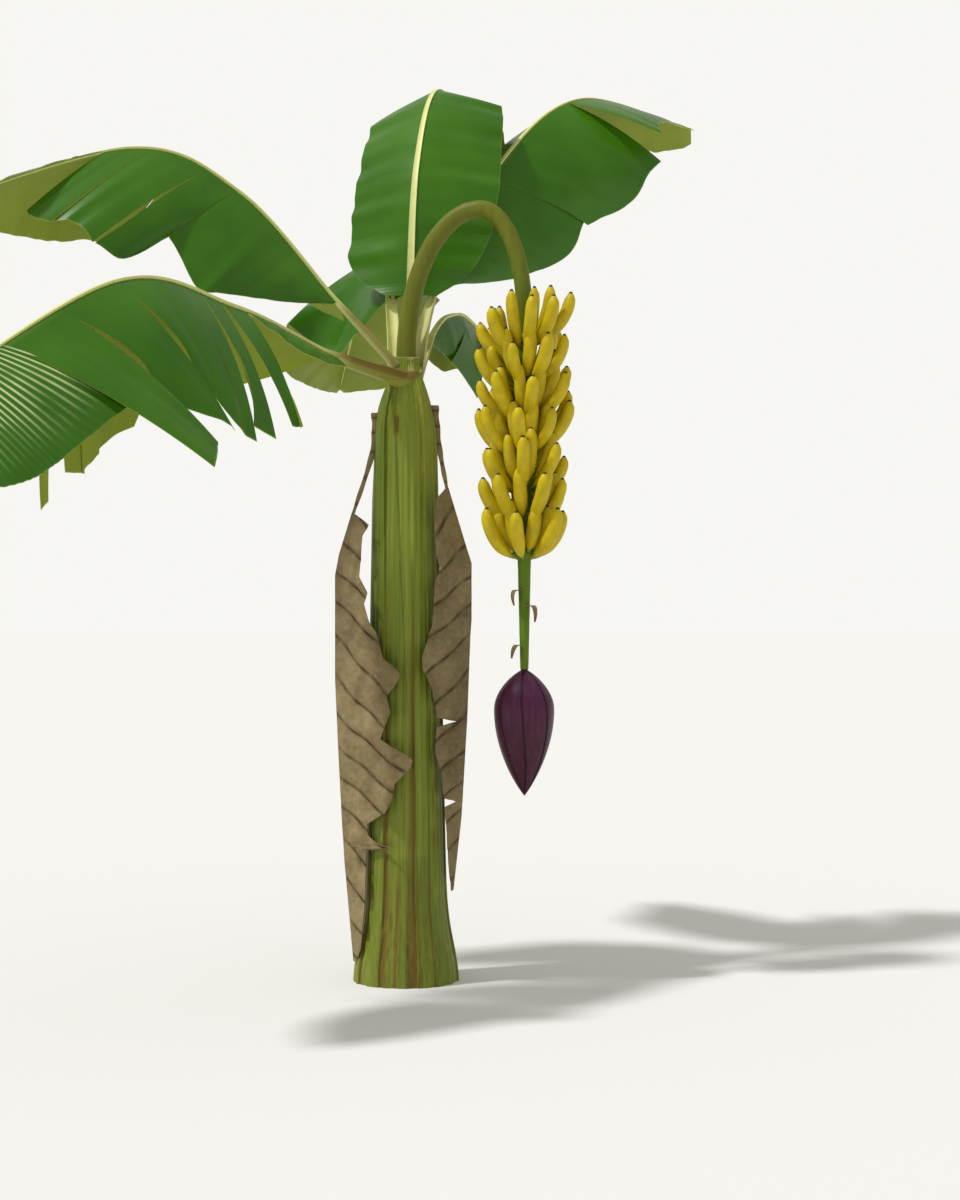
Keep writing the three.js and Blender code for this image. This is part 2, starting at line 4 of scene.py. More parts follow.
import bpy
import numpy as np
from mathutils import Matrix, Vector


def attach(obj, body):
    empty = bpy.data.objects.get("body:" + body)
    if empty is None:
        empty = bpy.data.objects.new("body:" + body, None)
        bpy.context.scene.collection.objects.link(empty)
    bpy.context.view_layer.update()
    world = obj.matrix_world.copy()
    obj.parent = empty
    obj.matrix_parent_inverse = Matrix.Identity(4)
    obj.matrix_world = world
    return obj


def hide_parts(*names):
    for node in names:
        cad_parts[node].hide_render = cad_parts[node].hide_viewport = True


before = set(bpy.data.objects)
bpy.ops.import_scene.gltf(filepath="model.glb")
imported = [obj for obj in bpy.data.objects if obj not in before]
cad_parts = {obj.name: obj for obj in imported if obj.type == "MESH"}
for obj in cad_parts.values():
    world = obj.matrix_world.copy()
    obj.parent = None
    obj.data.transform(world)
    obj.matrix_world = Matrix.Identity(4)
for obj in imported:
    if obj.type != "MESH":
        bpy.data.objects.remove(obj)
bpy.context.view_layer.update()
print("frame loaded with", len(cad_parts), "nodes")


# picking up, moving and finishing pieces

def dropSelection():
    if bpy.context.object and bpy.context.object.mode != "OBJECT":
        bpy.ops.object.mode_set(mode="OBJECT")
    bpy.ops.object.select_all(action="DESELECT")


def pick(*pieces):
    dropSelection()
    for piece in pieces:
        piece.select_set(True)
    bpy.context.view_layer.objects.active = pieces[0]


def named(name):
    piece = bpy.context.object
    piece.name = name
    piece.data.name = name
    return piece


def placesOf(piece):
    places = np.empty(len(piece.data.vertices) * 3)
    piece.data.vertices.foreach_get("co", places)
    return places.reshape(-1, 3)


def putPlaces(piece, places):
    piece.data.vertices.foreach_set("co", np.ascontiguousarray(places, dtype=np.float32).ravel())
    piece.data.update()


def mark(piece, **numbers):
    # numbers for each vertex, read by the materials
    for name, values in numbers.items():
        layer = piece.data.attributes.new(name, "FLOAT", "POINT")
        filled = np.broadcast_to(np.asarray(values, dtype=np.float32), (len(piece.data.vertices),))
        layer.data.foreach_set("value", np.ascontiguousarray(filled))


def rodPlaces(piece, fromFront=False):
    # share of the height, turn round the axis, and 0 on the axis to 1 on the side
    x, y, height = placesOf(piece).T
    turn = np.arctan2(x, -y) if fromFront else np.arctan2(y, x)
    return height, turn, np.minimum(1, np.hypot(x, y))


def sheetPlaces(piece):
    # shares of the way across and along, from 0 to 1
    places = placesOf(piece)
    return (places[:, 0] + 1) / 2, (places[:, 1] + 1) / 2


def addSheet(name, columns, rows):
    # a flat grid from -1 to 1, wide in x and long in y
    dropSelection()
    bpy.ops.mesh.primitive_grid_add(x_subdivisions=columns, y_subdivisions=rows, size=2)
    return named(name)


def addRod(name, sides, rows):
    # an upright rod of radius 1 from z = 0 to 1, cut into rows
    dropSelection()
    bpy.ops.mesh.primitive_cylinder_add(vertices=sides, radius=1, depth=1, location=(0, 0, 0.5),
                                        end_fill_type="TRIFAN")
    piece = named(name)
    bpy.ops.object.transform_apply(location=True, rotation=True, scale=True)
    mesh = piece.data
    for part in (mesh.vertices, mesh.edges, mesh.polygons):
        part.foreach_set("select", [False] * len(part))
    for edge in mesh.edges:
        low, high = (mesh.vertices[i].co.z for i in edge.vertices)
        edge.select = abs(high - low) > 0.5
    bpy.context.tool_settings.mesh_select_mode = (False, True, False)
    bpy.ops.object.mode_set(mode="EDIT")
    bpy.ops.mesh.subdivide(number_cuts=rows - 1)
    bpy.ops.object.mode_set(mode="OBJECT")
    return piece


def joined(pieces, name):
    pick(*pieces)
    if len(pieces) > 1:
        bpy.ops.object.join()
    return named(name)


def withModifier(piece, kind, **settings):
    pick(piece)
    modifier = piece.modifiers.new(kind.title(), kind)
    for key, value in settings.items():
        setattr(modifier, key, value)
    bpy.ops.object.modifier_apply(modifier=modifier.name)


def faceOutwards(piece):
    pick(piece)
    bpy.ops.object.mode_set(mode="EDIT")
    bpy.ops.mesh.select_all(action="SELECT")
    bpy.ops.mesh.remove_doubles(threshold=0.00002)
    bpy.ops.mesh.normals_make_consistent(inside=False)
    bpy.ops.object.mode_set(mode="OBJECT")


def handOver(piece, slot, *nodes, finish=None, smooth=50):
    # its finish, smooth shading, the body it rides on, and the nodes it stands for
    if finish:
        piece.data.materials.append(finishes[finish])
    pick(piece)
    bpy.ops.object.shade_smooth_by_angle(angle=math.radians(smooth))
    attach(piece, "root")
    if nodes:
        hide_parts(*nodes)


def blendBetween(a, b, t):
    return a + (b - a) * t


def ease(t):
    t = np.clip(t, 0, 1)
    return t * t * (3 - 2 * t)


def unit(vectors):
    return vectors / np.maximum(np.linalg.norm(vectors, axis=-1, keepdims=True), 1e-9)


def turnFrom(edge, angle):
    # how far round an angle lies from an edge, between half a turn back and half a turn on
    return (angle - edge + math.pi) % (2 * math.pi) - math.pi


def offLine(point, side, up, sideways, upwards):
    # places moved off a line, each by so much to its own side and up
    return point + (side * sideways[:, None] + up * upwards[:, None])


def onSpline(knots, t):
    # a smooth curve through the knots, each span leaning on its two neighbours
    spans = len(knots) - 1
    span = min(int(t * spans), spans - 1)
    share = t * spans - span
    before, a, b, after = (knots[min(max(span + i, 0), spans)] for i in (-1, 0, 1, 2))
    slopeA, slopeB = (b - before) / 2, (after - a) / 2
    return ((2 * a - 2 * b + slopeA + slopeB) * share ** 3
            + (3 * b - 3 * a - 2 * slopeA - slopeB) * share ** 2 + slopeA * share + a)


def lineThrough(knots, t):
    # where t falls on the curve through the knots, and the way the curve runs there
    shares = np.linspace(0, 1, 60)
    line = np.array([onSpline(knots, share) for share in shares]).T
    return (np.stack([np.interp(t, shares, part) for part in line], axis=-1),
            unit(np.stack([np.interp(t, shares, np.gradient(part)) for part in line], axis=-1)))


def tint(red, green, blue):
    # a screen colour as the linear colour that a shader takes
    def linear(part):
        part /= 255
        return part / 12.92 if part <= 0.04045 else ((part + 0.055) / 1.055) ** 2.4
    return (linear(red), linear(green), linear(blue), 1)


# materials

class Value:
    # a socket that can be used in sums
    def __init__(self, finish, socket):
        self.finish = finish
        self.socket = socket

    def math(self, operation, *others):
        values = {i: v for i, v in enumerate((self, *others))}
        return self.finish.node("Math", {"operation": operation}, values)

    def __add__(self, other):
        return self.math("ADD", other)

    def __sub__(self, other):
        return self.math("SUBTRACT", other)

    def __mul__(self, other):
        return self.math("MULTIPLY", other)

    def __truediv__(self, other):
        return self.math("DIVIDE", other)

    def __pow__(self, other):
        return self.math("POWER", other)

    def __rsub__(self, other):
        return self.finish.node("Math", {"operation": "SUBTRACT"}, {0: other, 1: self})

    __radd__ = __add__
    __rmul__ = __mul__

    def sine(self):
        return self.math("SINE")

    def between(self, low, high):
        # 0 below low, 1 above high, smooth between
        return self.finish.node("MapRange", {"interpolation_type": "SMOOTHSTEP", "clamp": True},
                                {"Value": self, "From Min": low, "From Max": high})

    def clamped(self):
        return self.finish.node("Clamp", {}, {"Value": self})


class Finish:
    # one material with its principled shader
    def __init__(self, name, **fixed):
        self.material = bpy.data.materials.new(name)
        self.material.use_nodes = True
        self.tree = self.material.node_tree
        self.shader = self.tree.nodes["Principled BSDF"]
        for key, value in fixed.items():
            self.shader.inputs[key.replace("_", " ")].default_value = value

    def node(self, kind, settings=None, values=None, out=0):
        made = self.tree.nodes.new("ShaderNode" + kind)
        for key, value in (settings or {}).items():
            setattr(made, key, value)
        for key, value in (values or {}).items():
            self.feed(made.inputs[key], value)
        return Value(self, made.outputs[out])

    def feed(self, socket, value):
        if isinstance(value, Value):
            self.tree.links.new(value.socket, socket)
        else:
            socket.default_value = value

    def put(self, **values):
        for key, value in values.items():
            self.feed(self.shader.inputs[key.replace("_", " ")], value)

    def mark(self, name):
        return self.node("Attribute", {"attribute_name": name}, out="Fac")

    def objectPlace(self, stretch):
        place = self.node("TexCoord", out="Object")
        return self.node("Mapping", {}, {"Vector": place, "Scale": stretch})

    def noise(self, place, scale, detail=2, roughness=0.5):
        # place is a socket, or how far the object's own place is stretched
        if not isinstance(place, Value):
            place = self.objectPlace(place)
        return self.node("TexNoise", {}, {"Vector": place, "Scale": scale, "Detail": detail,
                                          "Roughness": roughness})

    def mixed(self, share, a, b):
        return self.node("Mix", {"data_type": "RGBA"}, {0: share, 6: a, 7: b}, out=2)

    def bump(self, height, distance, strength=1.0):
        return self.node("Bump", {}, {"Height": height, "Distance": distance, "Strength": strength})


# measures that all leaves share
leafCommon = {
    "thickness": 0.0022,
    "cupping": 0.25,
    "rowLength": 0.009,
    "columns": 22,
    "raggedness": 0.0015,
    "raggedStep": 0.02,
    "raggedPlaces": 121,
    "ripple": 0.0022,
    "waves": (0.15, 0.083),
    "ridgeSpacing": 0.0165,
    "ridgeHeight": 0.0016,
    "ribRise": 0.002,
}
ridgeTurn = 2 * math.pi / leafCommon["ridgeSpacing"]


def stemFinish():
    finish = Finish("stemSheaths", Specular_IOR_Level=0.25)
    streaks = finish.noise((150, 150, 2.5), 1.0, 4, 0.6)
    broad = finish.noise((16, 16, 1.1), 1.0, 2)
    shade = (streaks * 0.9 + broad * 0.6 + finish.mark("sheathTone") * 0.6 - 0.6).clamped()
    green = finish.mixed(shade, tint(86, 104, 20), tint(154, 164, 62))
    brown = finish.mark("brown")
    flecks = (finish.noise((110, 110, 2.2), 1.0, 3) - 0.55) * 4
    low = 1 - finish.mark("height").between(0.05, 0.8)
    dry = (brown * 0.9 + (flecks * low).clamped() * 0.7).clamped()
    colour = finish.mixed(dry, green, finish.mixed(streaks, tint(72, 46, 14), tint(128, 98, 42)))
    finish.put(Base_Color=colour, Roughness=0.46 + dry * 0.3,
               Normal=finish.bump(streaks + broad * 0.5, 0.0022, 0.7))
    return finish.material


def leafFinish(name, darkTint, lightTint, edgeTint, roughness):
    finish = Finish(name, Specular_IOR_Level=0.26)
    along = finish.mark("along")
    across = finish.mark("across")
    ribbing = finish.mark("ribbing")
    cloud = finish.noise((1, 1, 1), 3.2, 3)
    place = finish.node("CombineXYZ", {}, {0: along * 90, 1: across * 1.5, 2: 0.5})
    fine = finish.noise(place, 1.0, 2)
    veins = (along * 520).sine()
    shade = (cloud * 1.2 + fine * 0.16 - 0.3).clamped()
    blade = finish.mixed(shade, darkTint, lightTint)
    # on ribbed strips the ridge crests are painted cream: painted highlight, the sun's glint on the
    # ridges
    ridges = (along * ridgeTurn).sine().between(0.1, 0.9)
    patches = finish.noise((1, 1, 1), 5.5, 2).between(0.3, 0.6)
    lit = ridges * ribbing * patches * (1 - across.between(0.35, 0.95)) * 0.9
    highlightStriped = finish.mixed(lit.clamped(), blade, tint(206, 216, 166))
    nearRib = 1 - across.between(0.0, 0.05)
    margin = across.between(0.988, 0.999)
    colour = finish.mixed((nearRib * 0.4 + margin * 0.6).clamped(), highlightStriped, edgeTint)
    relief = (veins * 0.5 + 0.5) * 0.1 + fine * 0.15
    finish.put(Base_Color=colour, Roughness=roughness + fine * 0.06,
               Normal=finish.bump(relief, 0.0012, 0.6))
    return finish.material


def ribFinish():
    finish = Finish("leafRibs", Specular_IOR_Level=0.4)
    streaks = finish.noise((40, 40, 40), 1.0, 3)
    channel = finish.mark("channel")
    age = finish.mark("age")
    # top colours the upper face, where channel is 1, and under the sides and underside: partly the
    # rib's own colours, partly painted light and shade, with a young top painted paler as lit and an
    # old channel painted dark brown as shaded inside
    top = finish.mixed(age, tint(232, 234, 158), tint(118, 98, 42))
    under = finish.mixed(age, tint(216, 220, 136), tint(134, 136, 50))
    rim = finish.mark("rim")
    body = finish.mixed(channel, under, top)
    colour = finish.mixed((rim * age * 0.8).clamped(), body, tint(108, 76, 30))
    finish.put(Base_Color=finish.mixed(streaks * 0.25, colour, tint(120, 118, 50)),
               Roughness=0.42 + streaks * 0.15, Normal=finish.bump(streaks, 0.001, 0.4))
    return finish.material


def stalkFinish():
    finish = Finish("fruitStalk", Specular_IOR_Level=0.25)
    streaks = finish.noise((60, 60, 8), 1.0, 3)
    old = finish.mark("old")
    shade = (streaks * 0.8 - 0.1).clamped()
    green = finish.mixed(shade, tint(80, 110, 12), tint(106, 134, 26))
    olive = finish.mixed(shade, tint(92, 98, 14), tint(124, 132, 38))
    finish.put(Base_Color=finish.mixed(old, green, olive), Roughness=0.44 + streaks * 0.15,
               Normal=finish.bump(streaks, 0.0012, 0.5))
    return finish.material


def fruitFinish():
    finish = Finish("fruitSkin", Specular_IOR_Level=0.3)
    cloud = finish.noise((1, 1, 1), 26, 3)
    fine = finish.noise((1, 1, 0.3), 210, 3, 0.6)
    end = finish.mark("fingerEnd")
    skin = finish.mixed((cloud * 1.5 - 0.3).clamped(), tint(180, 158, 4), tint(214, 192, 12))
    stemmed = finish.mixed(1 - end.between(0.03, 0.16), skin, tint(128, 138, 30))
    speckled = finish.mixed(fine.between(0.68, 0.78) * 0.35, stemmed, tint(92, 62, 18))
    tipped = finish.mixed(end.between(0.962, 0.974), speckled, tint(34, 22, 8))
    finish.put(Base_Color=tipped, Roughness=0.42 + cloud * 0.12,
               Normal=finish.bump(fine * 0.3 + cloud, 0.0015, 0.4))
    return finish.material


def budFinish():
    finish = Finish("budBracts", Specular_IOR_Level=0.24)
    streaks = finish.noise((70, 70, 8), 1.0, 3)
    low = finish.mark("low")
    seam = finish.mark("seam")
    body = finish.mixed(low, tint(72, 24, 60), tint(56, 8, 26))
    bloom = finish.mixed((streaks * 0.6 - 0.16).clamped(), body, tint(118, 66, 96))
    colour = finish.mixed(seam, bloom, tint(34, 4, 20))
    finish.put(Base_Color=colour, Roughness=0.3 + streaks * 0.2,
               Normal=finish.bump(streaks, 0.0012, 0.5))
    return finish.material


def dryFinish():
    finish = Finish("dryLeaf", Specular_IOR_Level=0.2)
    fibres = finish.noise((46, 46, 62), 1.0, 4, 0.6)
    cloud = finish.noise((1, 1, 1), 11, 3)
    crease = finish.mark("crease")
    shade = (fibres * 0.7 + cloud * 0.9 - 0.3).clamped()
    body = finish.mixed(shade, tint(88, 75, 46), tint(164, 147, 108))
    # crease darkens towards dark brown: on the dead leaves partly their own dark fold lines and partly
    # painted shade at each fold step, on the bracts their darker tips, on the straps their bands
    colour = finish.mixed(crease, body, tint(66, 46, 22))
    finish.put(Base_Color=colour, Roughness=0.8 + cloud * 0.1,
               Normal=finish.bump(fibres * 0.7 + cloud * 0.3, 0.003, 0.7))
    return finish.material


finishes = {
    "stem": stemFinish(),
    "leafTop": leafFinish("leafTop", tint(42, 92, 4), tint(74, 128, 22), tint(112, 148, 52), 0.25),
    "leafUnder": leafFinish("leafUnder", tint(116, 134, 22), tint(150, 162, 46),
                            tint(170, 176, 84), 0.5),
    "rib": ribFinish(),
    "stalk": stalkFinish(),
    "fruit": fruitFinish(),
    "bud": budFinish(),
    "dry": dryFinish(),
}
print("finishes mixed")


# the pseudostem: one tapering shaft of sheaths that overlap at their margins

stem = {
    "height": 2.07,
    "footRadius": 0.136,
    "taper": 0.0204,        # radius lost for each metre of height, as on the solid
    "flare": 0.036,
    "flareReach": 0.17,
    "shoulder": 1.8,
    "shoulderReach": 0.23,
    "neckRadius": 0.046,
    "sides": 240,
    "rows": 160,
    "lap": 0.075,           # how far round a margin's thickness dies out
    "groove": 0.012,        # how wide the groove under a margin is
    "fade": 0.1,            # height over which a margin starts and ends
    "toneWidth": 1.4,       # how far on from the lap a sheath keeps its own tone
    "brownFall": 0.85,
    "pleats": 31,
    "pleatDepth": 0.0012,
    "lobes": 17,
    "lobeDepth": 0.005,
    "lobeReach": 0.06,
}
# a short dry notch near the top of the stem
notch = {"angle": -0.31, "halfTurn": 0.1, "height": 1.84, "halfHeight": 0.028, "depth": 0.003}

# margins of the outer sheaths: degrees round from the front at foot and head, the height they
# show from and to, how thick, the side that lies on top, and the width of the brown strip
margins = [
    (-29, -41, 0.0, 2.02, 0.006, -1, 0.034),
    (26, -24, 0.9, 1.95, 0.004, -1, 0.002),
    (16, 13, 0.0, 1.48, 0.005, 1, 0.038),
    (37, 42, 0.0, 1.2, 0.003, 1, 0.008),
    (-9, -3, 0.0, 0.42, 0.002, 1, 0.016),
    (3, 5, 0.0, 0.26, 0.002, -1, 0.006),
    (54, 30, 0.3, 2.03, 0.004, 1, 0.004),
    (-62, -74, 0.0, 1.7, 0.005, -1, 0.01),
    (86, 74, 0.0, 1.9, 0.006, 1, 0.016),
    (-100, -88, 0.0, 2.0, 0.005, 1, 0.012),
    (122, 140, 0.0, 1.95, 0.006, -1, 0.018),
    (-141, -128, 0.0, 1.3, 0.005, -1, 0.01),
    (171, 182, 0.0, 2.0, 0.006, 1, 0.02),
]


def stemRadius(height):
    straight = stem["footRadius"] - stem["taper"] * np.minimum(height, stem["shoulder"])
    flare = stem["flare"] * np.exp(-((height / stem["flareReach"]) ** 2))
    closing = np.clip((height - stem["shoulder"]) / stem["shoulderReach"], 0, 1)
    neck = stem["neckRadius"]
    return neck + (straight + flare - neck) * np.cos(closing * math.pi / 2)


def makeStem():
    piece = addRod("pseudostem_sheaths", stem["sides"], stem["rows"])
    share, angle, within = rodPlaces(piece, fromFront=True)
    height = share * stem["height"]
    radius = stemRadius(height)
    relief = np.zeros(len(height))
    brown = np.zeros(len(height))
    tone = np.full(len(height), 0.5)
    chance = random.Random(4)
    for foot, head, low, high, depth, over, width in margins:
        edge = np.radians(blendBetween(foot, head, share))
        inside = turnFrom(edge, angle) * over * radius
        span = (height > low - 0.001) & (height < high)
        fade = np.clip((high - height) / stem["fade"], 0, 1)
        fade *= np.clip((height - low) / stem["fade"], 0, 1) if low else 1
        top = (inside >= 0) & (inside < stem["lap"]) & span
        relief += np.where(top, depth * fade * (1 - inside / stem["lap"]), 0)
        groove = (inside < 0) & (inside > -stem["groove"]) & span
        relief -= np.where(groove, 0.3 * depth * fade * (1 + inside / stem["groove"]), 0)
        wide = width * (0.06 + 0.94 * np.exp(-height / stem["brownFall"]))
        strip = np.exp(-(((inside + wide * 0.35) / np.maximum(wide * 0.5, 0.0012)) ** 2))
        strip = strip * blendBetween(0.95, 0.4, ease((height - 0.8) / 0.6))
        brown = np.maximum(brown, np.where(span, strip * fade, 0))
        step = chance.uniform(-0.32, 0.32)
        tone += np.where((inside >= 0) & (inside < stem["lap"] * stem["toneWidth"]) & span, step, 0)
    # soft pleats, and the lobed ends of the sheaths at the ground
    relief += stem["pleatDepth"] * np.sin(angle * stem["pleats"] + np.sin(height * 2.3) * 1.5)
    lobes = np.abs(np.sin(angle * stem["lobes"] / 2)) ** 4
    relief -= np.exp(-height / stem["lobeReach"]) * stem["lobeDepth"] * lobes
    cut = ((np.abs(angle - notch["angle"]) < notch["halfTurn"])
           & (np.abs(height - notch["height"]) < notch["halfHeight"]))
    relief -= np.where(cut, notch["depth"], 0)
    brown = np.maximum(brown, np.where(cut, 0.95, 0))
    reach = (radius + relief) * within
    putPlaces(piece, np.column_stack([reach * np.sin(angle), -reach * np.cos(angle), height]))
    mark(piece, brown=brown, sheathTone=tone, height=height)
    handOver(piece, "stem", "pseudostem", finish="stem")


makeStem()
print("pseudostem wrapped")


# leaves: each midrib runs from the crown through four places, and each half blade is torn
# into strips that fold down from it

# a strip runs on to a share of the blade called end; its lists are read evenly along it:
# fold is degrees below level, reach is metres from midrib to margin, and lean is metres by
# which the margin runs ahead towards the tip; slit is how far the tear after it stands open,
# and apart is how far every second strip's margin stands off its neighbours
def torn(end, fold, reach, lean=(0, 0), **more):
    return {"end": end, "fold": fold, "reach": reach, "lean": lean, **more}


leaves = {
    "leaf_left_high": {
        "base": (-0.026, -0.018, 2.048), "azimuth": 187, "turn": 2,
        "places": [(0.195, 0.205), (0.52, 0.563), (0.885, 0.698), (1.56, 0.47)],
        "petiole": (0.026, 0.017), "rib": (0.013, 0.0035), "age": 0.6, "apart": 0.005,
        "left": {"droop": 0.4, "strips": [
            torn(0.31, [60, 68], [0.03, 0.19, 0.34, 0.4, 0.31], [0.02, 0.05, 0.1, 0.09, 0.15]),
            torn(0.38, [68, 66], [0.31, 0.48, 0.49], [0.15, 0.2, 0.26], slit=0.008),
            torn(0.5, [66, 64], [0.49, 0.4, 0.33], [0.27, 0.29, 0.31], slit=0.005),
            torn(0.6, [64, 58], [0.34, 0.26, 0.19], [0.32, 0.33, 0.28]),
            torn(1, [7, 5], [0.05, 0.15, 0.14, 0.02], [0.1, 0.07, 0.03, 0], curl=3)]},
        "right": {"droop": 0.2, "strips": [
            torn(0.43, [25, 40], [0.05, 0.28, 0.34, 0.44], [-0.05, 0.05, 0.08, 0.13]),
            torn(1, [40, 34, 16], [0.5, 0.38, 0.3, 0.2, 0.02], [0.15, 0.19, 0.12, 0.05, 0])]},
    },
    "leaf_left_low": {
        "base": (-0.008, -0.030, 2.006), "azimuth": 228, "turn": 0,
        "places": [(0.330, 0.052), (0.746, 0.166), (1.225, 0.192), (1.96, -0.25)],
        "petiole": (0.036, 0.027), "rib": (0.013, 0.004), "age": 1.0, "apart": 0.007,
        "left": {"droop": 0, "strips": [
            torn(0.22, [38, 40], [0.06, 0.13, 0.12, 0.07, 0.01], [-0.03, 0.06, 0.06, 0.02, 0]),
            torn(0.285, [62, 62], [0.41, 0.4], [-0.12, -0.22]),
            torn(0.33, [62, 62], [0.47, 0.455], [-0.14, -0.13], slit=0.026),
            torn(0.51, [62, 62], [0.52, 0.49, 0.39], [-0.12, -0.09, -0.05], slit=0.034),
            torn(0.64, [61, 60], [0.56, 0.51, 0.38], [-0.08, -0.08, -0.05], slit=0.05),
            torn(0.77, [60, 56], [0.58, 0.61, 0.65], [-0.11, -0.17, -0.21]),
            # this last strip is ribbed: fine ridges, with painted highlight stripes along them
            torn(1, [54, 50], [0.36, 0.37, 0.36, 0.25], [-0.17, -0.03, 0.02, 0.08], ribbing=1)]},
        "right": {"droop": 0.2, "strips": [
            torn(0.3, [30, 44], [0.02, 0.28, 0.38, 0.42]),
            torn(0.46, [56, 60], [0.48, 0.59, 0.62], [0, -0.02]),
            torn(0.53, [62, 62], [0.58, 0.63], [-0.01, 0.02]),
            torn(0.58, [62, 62], [0.64, 0.59], [0.005, 0.045]),
            torn(0.62, [62, 62], [0.65, 0.66], [0.12, 0.1]),
            torn(1, [60, 44], [0.45, 0.38, 0.25, 0.02], [0.09, 0.08, 0.05, 0])]},
    },
    "leaf_back_tall": {
        "base": (0.006, 0.034, 2.050), "azimuth": 86, "turn": -14,
        "places": [(0.045, 0.245), (0.14, 0.69), (0.43, 1.018), (1.0, 0.8)],
        "petiole": (0.026, 0.018), "rib": (0.013, 0.003), "age": 0.0, "ripple": 0.0042,
        "left": {"droop": 0, "strips": [
            torn(0.15, [12, 28], [0.08, 0.2, 0.25, 0.265]),
            torn(1, [28, 27, 25, 20, 16], [0.265, 0.265, 0.26, 0.255, 0.25, 0.2, 0.14, 0.02],
                 [0, 0, 0.03, 0.03, 0])]},
        "right": {"droop": 0, "strips": [
            torn(0.15, [8, 15], [0.09, 0.19, 0.24, 0.27]),
            torn(1, [15, 17, 18], [0.27, 0.29, 0.28, 0.26, 0.2, 0.16, 0.12, 0.02],
                 [0, 0, 0.02, 0.03, 0])]},
    },
    "leaf_right_high": {
        "base": (0.038, 0.018, 2.044), "azimuth": 64, "turn": -26,
        "places": [(0.1, 0.25), (0.45, 0.755), (0.8, 1.02), (1.25, 0.955)],
        "petiole": (0.026, 0.017), "rib": (0.011, 0.003), "age": 0.25,
        "left": {"droop": 0.2, "strips": [
            torn(0.7, [8, 30], [0.02, 0.28, 0.34, 0.3], [0, 0.08, 0.1, 0.22]),
            torn(1, [30, 12], [0.28, 0.2, 0.16, 0.1], [0.18, 0.22, 0.14, 0.05])]},
        "right": {"droop": 0.45, "strips": [
            torn(0.34, [74, 66], [0.08, 0.22, 0.33, 0.42, 0.39], [0.14, 0.17, 0.2, 0.26, 0.28]),
            torn(0.66, [66, 56, 48], [0.41, 0.46, 0.42, 0.38], [0.27, 0.3, 0.24, 0.18]),
            torn(1, [24, 24, 20], [0.42, 0.24, 0.03], [0.09, 0.03, 0])]},
    },
    "leaf_back_left": {
        "base": (-0.036, 0.034, 2.024), "azimuth": 101, "turn": 0,
        "places": [(0.12, 0.27), (0.3, 0.385), (0.62, 0.445), (1.43, 0.078)],
        "petiole": (0.024, 0.018), "rib": (0.013, 0.003), "age": 0.0,
        "left": {"droop": 0.2, "strips": [
            torn(0.3, [60, 62, 38], [0.17, 0.34, 0.39]),
            torn(1, [38, 38, 50], [0.39, 0.38, 0.35, 0.2, 0.02])]},
        "right": {"droop": 0.2, "strips": [
            torn(0.4, [22, 36], [0.02, 0.25, 0.28]),
            torn(1, [34, 38], [0.28, 0.26, 0.23, 0.02])]},
    },
    "leaf_back_right": {
        "base": (0.026, 0.044, 1.985), "azimuth": 70, "turn": 0,
        "places": [(0.15, 0.175), (0.33, 0.275), (0.58, 0.27), (1.12, 0.06)],
        "petiole": (0.024, 0.017), "rib": (0.011, 0.003), "age": 0.4,
        "left": {"droop": 0.2, "strips": [
            torn(0.35, [50, 70, 60], [0.08, 0.22, 0.2], [0, 0.1, 0.38]),
            torn(1, [36, 20], [0.1, 0.08, 0.02], [0.1, 0, 0])]},
        "right": {"droop": 0.3, "strips": [
            torn(0.36, [80, 80, 74], [0.03, 0.15, 0.18, 0.17]),
            torn(0.46, [80, 80], [0.22, 0.3], [-0.22, -0.07]),
            torn(1, [50, 20], [0.2, 0.18, 0.02])]},
    },
}


class Midrib:
    # the line of a midrib, read at t from 0 at the crown to 1 at the tip
    def __init__(self, leaf):
        self.leaf = leaf
        knots = np.array([(0, 0), *leaf["places"]])
        steps = np.linspace(0, 1, 401)
        flat = np.array([onSpline(knots, t) for t in steps])
        lengths = np.concatenate([[0], np.cumsum(np.linalg.norm(np.diff(flat, axis=0), axis=1))])
        self.length = lengths[-1]
        even = np.linspace(0, self.length, 401)
        self.steps = steps
        self.reach = np.interp(even, lengths, flat[:, 0])
        self.rise = np.interp(even, lengths, flat[:, 1])
        early = steps < 0.5
        self.petioleShare = steps[early][np.argmin(np.abs(self.rise[early] - leaf["places"][0][1]))]

    def at(self, t):
        heading = np.radians(self.leaf["azimuth"] + self.leaf["turn"] * t)
        reach = np.interp(t, self.steps, self.reach)
        return np.stack([self.leaf["base"][0] + reach * np.cos(heading),
                         self.leaf["base"][1] + reach * np.sin(heading),
                         self.leaf["base"][2] + np.interp(t, self.steps, self.rise)], axis=-1)

    def frameAt(self, t):
        # point, direction of growth, side and up
        t = np.clip(t, 0.0, 1.0)
        low, high = np.clip(t - 0.004, 0, 1), np.clip(t + 0.004, 0, 1)
        tangent = unit(self.at(high) - self.at(low))
        heading = np.radians(self.leaf["azimuth"] + self.leaf["turn"] * t)
        level = np.stack([np.sin(heading), -np.cos(heading), 0 * heading], axis=-1)
        up = unit(np.cross(level, tangent))
        return self.at(t), tangent, np.cross(tangent, up), up


def readAlong(values, share):
    return np.interp(share, np.linspace(0, 1, len(values)), values)


def readSmooth(values, share):
    # as readAlong, but with a curve that bends evenly through the values
    values = np.array(values, float)
    last = len(values) - 1
    slopes = np.gradient(values) if last > 0 else values * 0
    span = np.clip((share * last).astype(int), 0, last - 1)
    part = share * last - span
    a, b = values[span], values[span + 1]
    return (a + slopes[span] * part + (3 * (b - a) - 2 * slopes[span] - slopes[span + 1]) * part ** 2
            + (2 * (a - b) + slopes[span] + slopes[span + 1]) * part ** 3)


